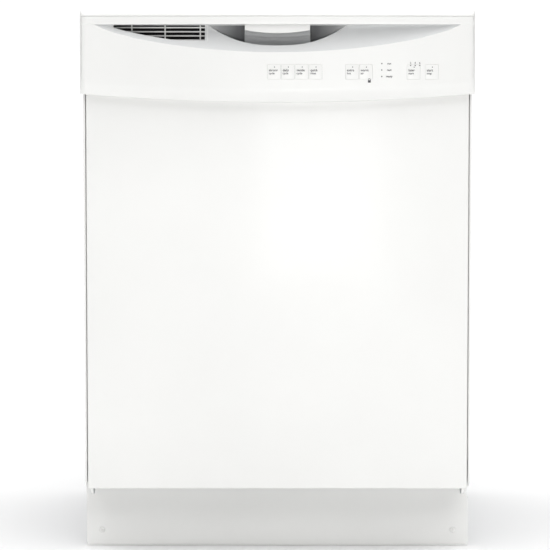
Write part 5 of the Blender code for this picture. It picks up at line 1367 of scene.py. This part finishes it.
def make_motor():
    """The ribbed motor can and the neck that bolts it to the sump."""
    near, far = low("wash_motor"), high("wash_motor")
    radius = 0.036
    y, z = near.y + radius, near.z + radius
    start, end = near.x, near.x + 0.115
    bm = bmesh.new()
    profile = [(0, 0), (0.012, 0), (0.014, 0.003), (0.030, 0.004), (0.034, 0.008)]
    for i in range(9):
        h = 0.012 + i * 0.0100
        profile += [
            (radius, h), (radius, h + 0.0070), (radius - 0.0015, h + 0.0078), (radius - 0.0015, h + 0.0095)
        ]
    profile += [(radius, 0.104), (0.034, 0.111), (0.016, 0.113), (0.014, 0.115), (0, 0.115)]
    turned(bm, profile, (start, y, z), (1, 0, 0), 48)
    block(
        bm, (start + 0.025, y - 0.014, z + radius - 0.008), (end - 0.030, y + 0.014, z + radius + 0.004),
        0.002, 3,
    )
    as_piece("motor_can", bm, "stainless", "cabinet", ("wash_motor",), sharp=30)
    bm = bmesh.new()
    neck = [
        (0.0138, 0), (0.0138, 0.010), (0.0120, 0.012), (0.0120, 0.020), (0.0138, 0.022),
        (0.0138, far.x - end + 0.008), (0, far.x - end + 0.008), (0, 0), (0.0138, 0),
    ]
    turned(bm, neck, (end - 0.008, y, z), (1, 0, 0), 32)
    rod(bm, (-0.036, y, z), (-0.036, y, far.z), 0.012, 32)
    for i in range(4):
        angle = math.tau * (i + 0.5) / 4
        ear = (y + 0.029 * math.cos(angle), z + 0.029 * math.sin(angle))
        rod(bm, (end - 0.006, *ear), (end + 0.003, *ear), 0.0035, 6)
    as_piece("pump_neck", bm, "dark_plastic", "cabinet", sharp=40)


def make_plumbing():
    """Sump, drain pump and water inlet under the tub."""
    refined("sump", "dark_plastic", "cabinet", 0.0008)
    refined("drain_pump", "dark_plastic", "cabinet", 0.0012)
    refined("inlet_valve", "dark_plastic", "cabinet", 0.0015)
    near, far = low("inlet_valve"), high("inlet_valve")
    bm = bmesh.new()
    profile = [(0.0070, 0)]
    for i in range(7):
        profile += [(0.0104, -0.0005 - i * 0.0016), (0.0096, -0.0013 - i * 0.0016)]
    profile += [(0.0096, -0.013), (0.0070, -0.013), (0.0070, 0)]
    turned(bm, profile, ((near.x + far.x) / 2, far.y + 0.0002, near.z + 0.017), (0, 1, 0), 32)
    as_piece("inlet_thread", bm, "brass", "cabinet", sharp=40)


def make_electrics():
    """The junction box's lid with its screws, and the control board with its parts."""
    near, far = low("junction_box"), high("junction_box")
    bm = bmesh.new()
    for x in (near.x + 0.008, far.x - 0.008):
        turned(
            bm, [(0, 0.0016), (0.0025, 0.0014), (0.0035, 0.0004), (0.0035, 0), (0, 0)],
            (x, near.y + 0.028, far.z), steps=20,
        )
    block(
        bm, (near.x + 0.003, near.y + 0.003, far.z - 0.0004),
        (far.x - 0.003, far.y - 0.003, far.z + 0.0006), 0.0004,
    )
    as_piece("junction_lid", bm, "galvanised", "cabinet")
    near, far = low("control_board"), high("control_board")
    bm = bmesh.new()
    block(bm, near, far, 0.0003)
    as_piece("board_lacquer", bm, "circuit_board", "door", ("control_board",))
    bm = bmesh.new()
    for i in range(7):
        x = near.x + 0.030 + i * 0.036
        block(bm, (x, near.y - 0.0030, near.z + 0.004), (x + 0.010, near.y - 0.0001, near.z + 0.010), 0.0004)
    as_piece("board_parts", bm, "dark_plastic", "door")


# ---------------------------------------------------------------- racks
def hoops(near, far, base, lift, longs, crosses):
    """U-shaped wires both ways under a basket, between its corners."""
    paths = []
    for i in range(longs):
        x = near.x + 0.012 + (far.x - near.x - 0.024) * i / (longs - 1)
        corners = [(x, near.y, far.z), (x, near.y, base), (x, far.y, base), (x, far.y, far.z)]
        paths.append(rounded(corners, 0.012, 4))
    for i in range(crosses):
        y = near.y + 0.012 + (far.y - near.y - 0.024) * i / (crosses - 1)
        corners = [(near.x, y, far.z), (near.x, y, base + lift), (far.x, y, base + lift), (far.x, y, far.z)]
        paths.append(rounded(corners, 0.012, 4))
    return paths


def rim(near, far, z, radius=0.014):
    """A closed rectangle with round corners, for a rack's rim."""
    corners = [(near.x, near.y), (far.x, near.y), (far.x, far.y), (near.x, far.y)]
    path = []
    for i, (x, y) in enumerate(corners):
        cx, cy = x + math.copysign(radius, -x), y + (radius if y == near.y else -radius)
        start = 180 + 90 * i
        for k in range(7):
            angle = math.radians(start + 15 * k)
            path.append((cx + radius * math.cos(angle), cy + radius * math.sin(angle), z))
    return path


def tines(xs, ys, base, tall, lean=0.0):
    """Bent tines that stand at each x and y."""
    return [[(x, y, base), (x, y, base + tall * 0.5), (x, y + lean, base + tall)] for x in xs for y in ys]


def spaced(start, end, count):
    """Evenly spaced values from start to end."""
    return [start + (end - start) * i / (count - 1) for i in range(count)]


def make_lower_rack():
    """The lower rack's wires, plate and bowl tines, rims and handle, and its wheel carriers."""
    axle = (low("lower_wheel_front_left").z + high("lower_wheel_front_left").z) / 2
    near, far = low("lower_rack"), high("lower_rack")
    wheel = high("lower_wheel_front_right").x
    half, base = 0.240, 0.202
    near = Vector((-half, near.y + 0.002, base))
    far = Vector((half, far.y - 0.002, far.z - 0.002))
    thin, thick = 0.0016, 0.0024
    bm = wires("thin", hoops(near, far, base, 2 * thin, 15, 14), thin, 1)
    tall = 0.088
    left = spaced(-0.212, 0.086, 15)
    plate_rows = tines(left, (-0.155, -0.045, 0.075, 0.185), base, tall, 0.010)
    bowl_rows = tines(spaced(0.118, 0.212, 5), (-0.165, -0.085, -0.010), base, 0.055, 0.008)
    joined(bm, wires("tines", plate_rows + bowl_rows, 0.0017, 1))
    rims = [rim(near, far, far.z), rim(near, far, (base + far.z) / 2 + 0.002)]
    joined(bm, wires("rims", rims, thick, 2, closed=True))
    front = near.y
    handle = [
        (-0.11, front, far.z), (-0.095, front - 0.001, far.z - 0.022),
        (0.095, front - 0.001, far.z - 0.022), (0.11, front, far.z),
    ]
    joined(bm, wires("rack_handle", [rounded(handle, 0.012, 5)], thick, 2))
    as_piece("lower_rack_wires", bm, "rack_vinyl", "lower_rack", ("lower_rack",), sharp=60)
    bm = bmesh.new()
    for word in CORNERS:
        a, b = low("lower_wheel_" + word), high("lower_wheel_" + word)
        y = (a.y + b.y) / 2
        side = 1 if a.x > 0 else -1
        block(
            bm, (side * (half - 0.006), y - 0.009, axle - 0.008),
            (side * (half + 0.0025), y + 0.009, (base + far.z) / 2 + 0.004), 0.0025, 3,
        )
        rod(bm, (side * half, y, axle), (side * (wheel + 0.0015), y, axle), 0.0030, 20)
    as_piece("wheel_carriers", bm, "grey_plastic", "lower_rack")


def make_wheels():
    """The lower rack's wheels: a tyre and six spokes round a hub."""
    for word in CORNERS:
        node = "lower_wheel_" + word
        a, b = low(node), high(node)
        middle, width = (a + b) / 2, b.x - a.x
        radius = (b.z - a.z) / 2
        bm = bmesh.new()
        profile = [
            (0.0036, 0), (0.007, 0), (0.007, 0.003), (radius - 0.005, 0.003), (radius - 0.004, 0.0005),
            (radius - 0.001, 0.0002), (radius, 0.0012),
        ]
        mirrored = [(r, width - h) for r, h in reversed(profile)]
        turned(bm, profile + mirrored + [profile[0]], (a.x, middle.y, middle.z), (1, 0, 0), 48)
        for i in range(6):
            angle = math.tau * i / 6
            way = Vector((0, math.cos(angle), math.sin(angle)))
            hub = Vector((middle.x, middle.y, middle.z)) + way * 0.006
            rod(bm, hub, hub + way * (radius - 0.0105), 0.0016, 8)
        as_piece(node + "_fine", bm, "grey_plastic", node, (node,), sharp=35)


def make_upper_rack():
    """The upper rack's wires, tines, cup shelf and rims, its runners and the duct to its arm."""
    near, far = low("upper_rack"), high("upper_rack")
    half, base = 0.235, far.z - 0.118
    feed_back = far.y
    box_near = Vector((-half, near.y + 0.002, base))
    box_far = Vector((half, near.y + 0.002 + 0.449, far.z - 0.002))
    thin, thick = 0.0016, 0.0024
    bm = wires("thin", hoops(box_near, box_far, base, 2 * thin, 13, 12), thin, 1)
    cups = tines((-0.075, -0.035, 0.035, 0.075), spaced(-0.18, 0.20, 11), base, 0.052)
    joined(bm, wires("tines", cups, 0.0017, 1))
    rims = [rim(box_near, box_far, box_far.z), rim(box_near, box_far, (base + box_far.z) / 2)]
    joined(bm, wires("rims", rims, thick, 2, closed=True))
    shelf = []
    for x in spaced(-0.228, -0.150, 5):
        shelf.append([(x, -0.150, base + 0.075), (x, 0.150, base + 0.075)])
    for y in spaced(-0.150, 0.150, 9):
        shelf.append([(-0.232, y, base + 0.0775), (-0.150, y, base + 0.075)])
    joined(bm, wires("cup_shelf", shelf, thin, 1))
    as_piece("upper_rack_wires", bm, "rack_vinyl", "upper_rack", ("upper_rack",), sharp=60)
    bm = bmesh.new()
    runner = far.x
    rail_z = (low("upper_rail_right").z + high("upper_rail_right").z) / 2
    ends = box_near.y + 0.032, feed_back - 0.043
    for side in (-1, 1):
        block(
            bm, (side * (half - 0.002), ends[0], rail_z - 0.0068),
            (side * runner, ends[1], rail_z + 0.0068), 0.0015, 3,
        )
        for y in (ends[0] + 0.015, ends[1] - 0.015):
            block(
                bm, (side * (half - 0.008), y - 0.014, rail_z - 0.016),
                (side * (half + 0.003), y + 0.014, rail_z + 0.016), 0.004, 3,
            )
    duct_low = near.z + 0.0208
    block(bm, (-0.012, ARM_Y - 0.014, duct_low), (0.012, feed_back, duct_low + 0.0175), 0.005, 4)
    profile = [
        (0, 0.016), (0.010, 0.016), (0.0078, 0.0005), (0.0078, -0.0150), (0.0127, -0.0150),
        (0.0127, -0.0185), (0.009, -0.0203), (0, -0.0205),
    ]
    turned(bm, profile, (0, ARM_Y, duct_low), steps=40)
    front = box_near.y
    block(
        bm, (-0.085, front - 0.0020, box_far.z - 0.020), (0.085, front + 0.0060, box_far.z + 0.0015),
        0.003, 3,
    )
    as_piece("rack_mouldings", bm, "grey_plastic", "upper_rack")


def basket_wall(bm, start, end, inward, foot, top):
    """One wall from start to end: upright ribs between a foot, a waist and a top band."""
    start, end, thick = Vector(start), Vector(end), 0.0016
    way = end - start
    across = Vector((abs(inward[0]), abs(inward[1]), 0)) * thick / 2
    count = max(2, round(way.length / 0.0095))
    for i in range(count + 1):
        middle = start + way * i / count
        reach = way.normalized() * 0.0010 + Vector(inward) * thick / 2
        reach = Vector((abs(reach.x), abs(reach.y), 0))
        rib_low = (middle.x - reach.x, middle.y - reach.y, foot)
        block(bm, rib_low, (middle.x + reach.x, middle.y + reach.y, top - 0.001))
    for band_low, band_high in ((foot, foot + 0.008), (foot + 0.052, foot + 0.057), (top - 0.009, top)):
        near = (start.x - across.x, start.y - across.y, band_low)
        block(bm, near, (end.x + across.x, end.y + across.y, band_high), 0.0004, 1)


def make_basket():
    """The cutlery basket: six cells with ribbed walls, a grid of a floor, and an arched handle."""
    near, far = low("cutlery_basket"), high("cutlery_basket")
    bm = bmesh.new()
    xs, ys = spaced(near.x + 0.001, far.x - 0.001, 3), spaced(near.y + 0.001, far.y - 0.001, 4)
    for x in xs:
        basket_wall(bm, (x, ys[0], 0), (x, ys[-1], 0), (1, 0, 0), near.z, far.z)
    for y in ys:
        basket_wall(bm, (xs[0], y, 0), (xs[-1], y, 0), (0, 1, 0), near.z, far.z)
    for y in spaced(near.y + 0.001, far.y - 0.001, 26):
        block(bm, (near.x, y - 0.001, near.z), (far.x, y + 0.001, near.z + 0.0018))
    for x in spaced(near.x + 0.001, far.x - 0.001, 16):
        block(bm, (x - 0.001, near.y, near.z), (x + 0.001, far.y, near.z + 0.0018))
    middle = (near + far) / 2
    sides = ((near.y + 0.03, -0.004), (near.y + 0.05, 0.028), (far.y - 0.05, 0.028), (far.y - 0.03, -0.004))
    arch = [(middle.x, y, far.z + rise) for y, rise in sides]
    joined(bm, wires("basket_handle", [rounded(arch, 0.02, 6)], 0.0035, 3))
    as_piece("basket_slats", bm, "grey_plastic", "lower_rack", ("cutlery_basket",), sharp=40)


# ---------------------------------------------------------------- stage
def aim(made, target):
    """A camera or light turned towards a point."""
    made.rotation_euler = (Vector(target) - made.location).to_track_quat("-Z", "Y").to_euler()


def soft_light(name, place, target, size, power):
    """A rectangular area light that faces a point."""
    lamp = bpy.data.lights.new(name, "AREA")
    lamp.shape = "RECTANGLE"
    lamp.size, lamp.size_y = size
    lamp.energy = power
    made = bpy.data.objects.new(name, lamp)
    made.location = place
    bpy.context.scene.collection.objects.link(made)
    aim(made, target)


def make_stage():
    """A white floor, a world that lights from above and behind, and two soft lights."""
    bm = bmesh.new()
    bmesh.ops.create_grid(bm, x_segments=1, y_segments=1, size=12.0)
    mesh = bpy.data.meshes.new("studio_floor")
    bm.to_mesh(mesh)
    bm.free()
    floor = bpy.data.objects.new("studio_floor", mesh)
    mesh.materials.append(studio_floor())
    bpy.context.scene.collection.objects.link(floor)
    world = bpy.data.worlds.new("studio")
    bpy.context.scene.world = world
    world.use_nodes = True
    tree = world.node_tree
    paper = tree.nodes["Background"]
    paper.inputs["Color"].default_value = linear("FFFFFF")
    way = add(tree, "ShaderNodeTexCoord").outputs["Generated"]
    parts = add(tree, "ShaderNodeSeparateXYZ", Vector=way)
    zenith = {"From Min": 0.40, "From Max": 0.75, "To Min": 0.15, "To Max": 1.80}
    above = add(tree, "ShaderNodeMapRange", zenith, Value=parts.outputs["Z"])
    screen = {"From Min": 0.86, "From Max": 0.975, "To Min": 0.0, "To Max": 1.06}
    behind = add(tree, "ShaderNodeMapRange", screen, Value=parts.outputs["Y"])
    brighter = add(
        tree, "ShaderNodeMath", {"operation": "MAXIMUM"}, i0=above.outputs[0], i1=behind.outputs[0]
    )
    tree.links.new(brighter.outputs[0], paper.inputs["Strength"])
    soft_light("key", (0.5, -2.7, 2.4), (0.05, 0, 0.4), (1.8, 1.2), 13)
    soft_light("fill", (0.26, -3.4, 0.30), (0.05, 0, 0.4), (0.7, 1.2), 7)
    bpy.context.scene.view_settings.view_transform = "Standard"


def make_camera():
    """A long lens at eye level in front of the machine."""
    lens = bpy.data.cameras.new("camera")
    lens.lens = 136.4
    lens.sensor_width = 36.0
    made = bpy.data.objects.new("camera", lens)
    made.location = (-0.0038, FRONT - 3.2, 0.6375)
    bpy.context.scene.collection.objects.link(made)
    aim(made, (-0.0038, FRONT, 0.4375))
    bpy.context.scene.camera = made


make_camera()
make_stage()
make_console()
make_buttons()
make_prints()
make_vent()
make_pocket()
make_handle()
make_door_skin()
make_door_liner()
make_dispenser()
make_hinges()
make_tub()
make_blanket()
make_steelwork()
make_legs()
make_heater()
make_conduit()
make_filter()
spray_arm("lower_spray_arm", "grey_plastic")
spray_arm("upper_spray_arm", "grey_plastic")
make_motor()
make_plumbing()
make_electrics()
make_lower_rack()
make_wheels()
make_upper_rack()
make_basket()
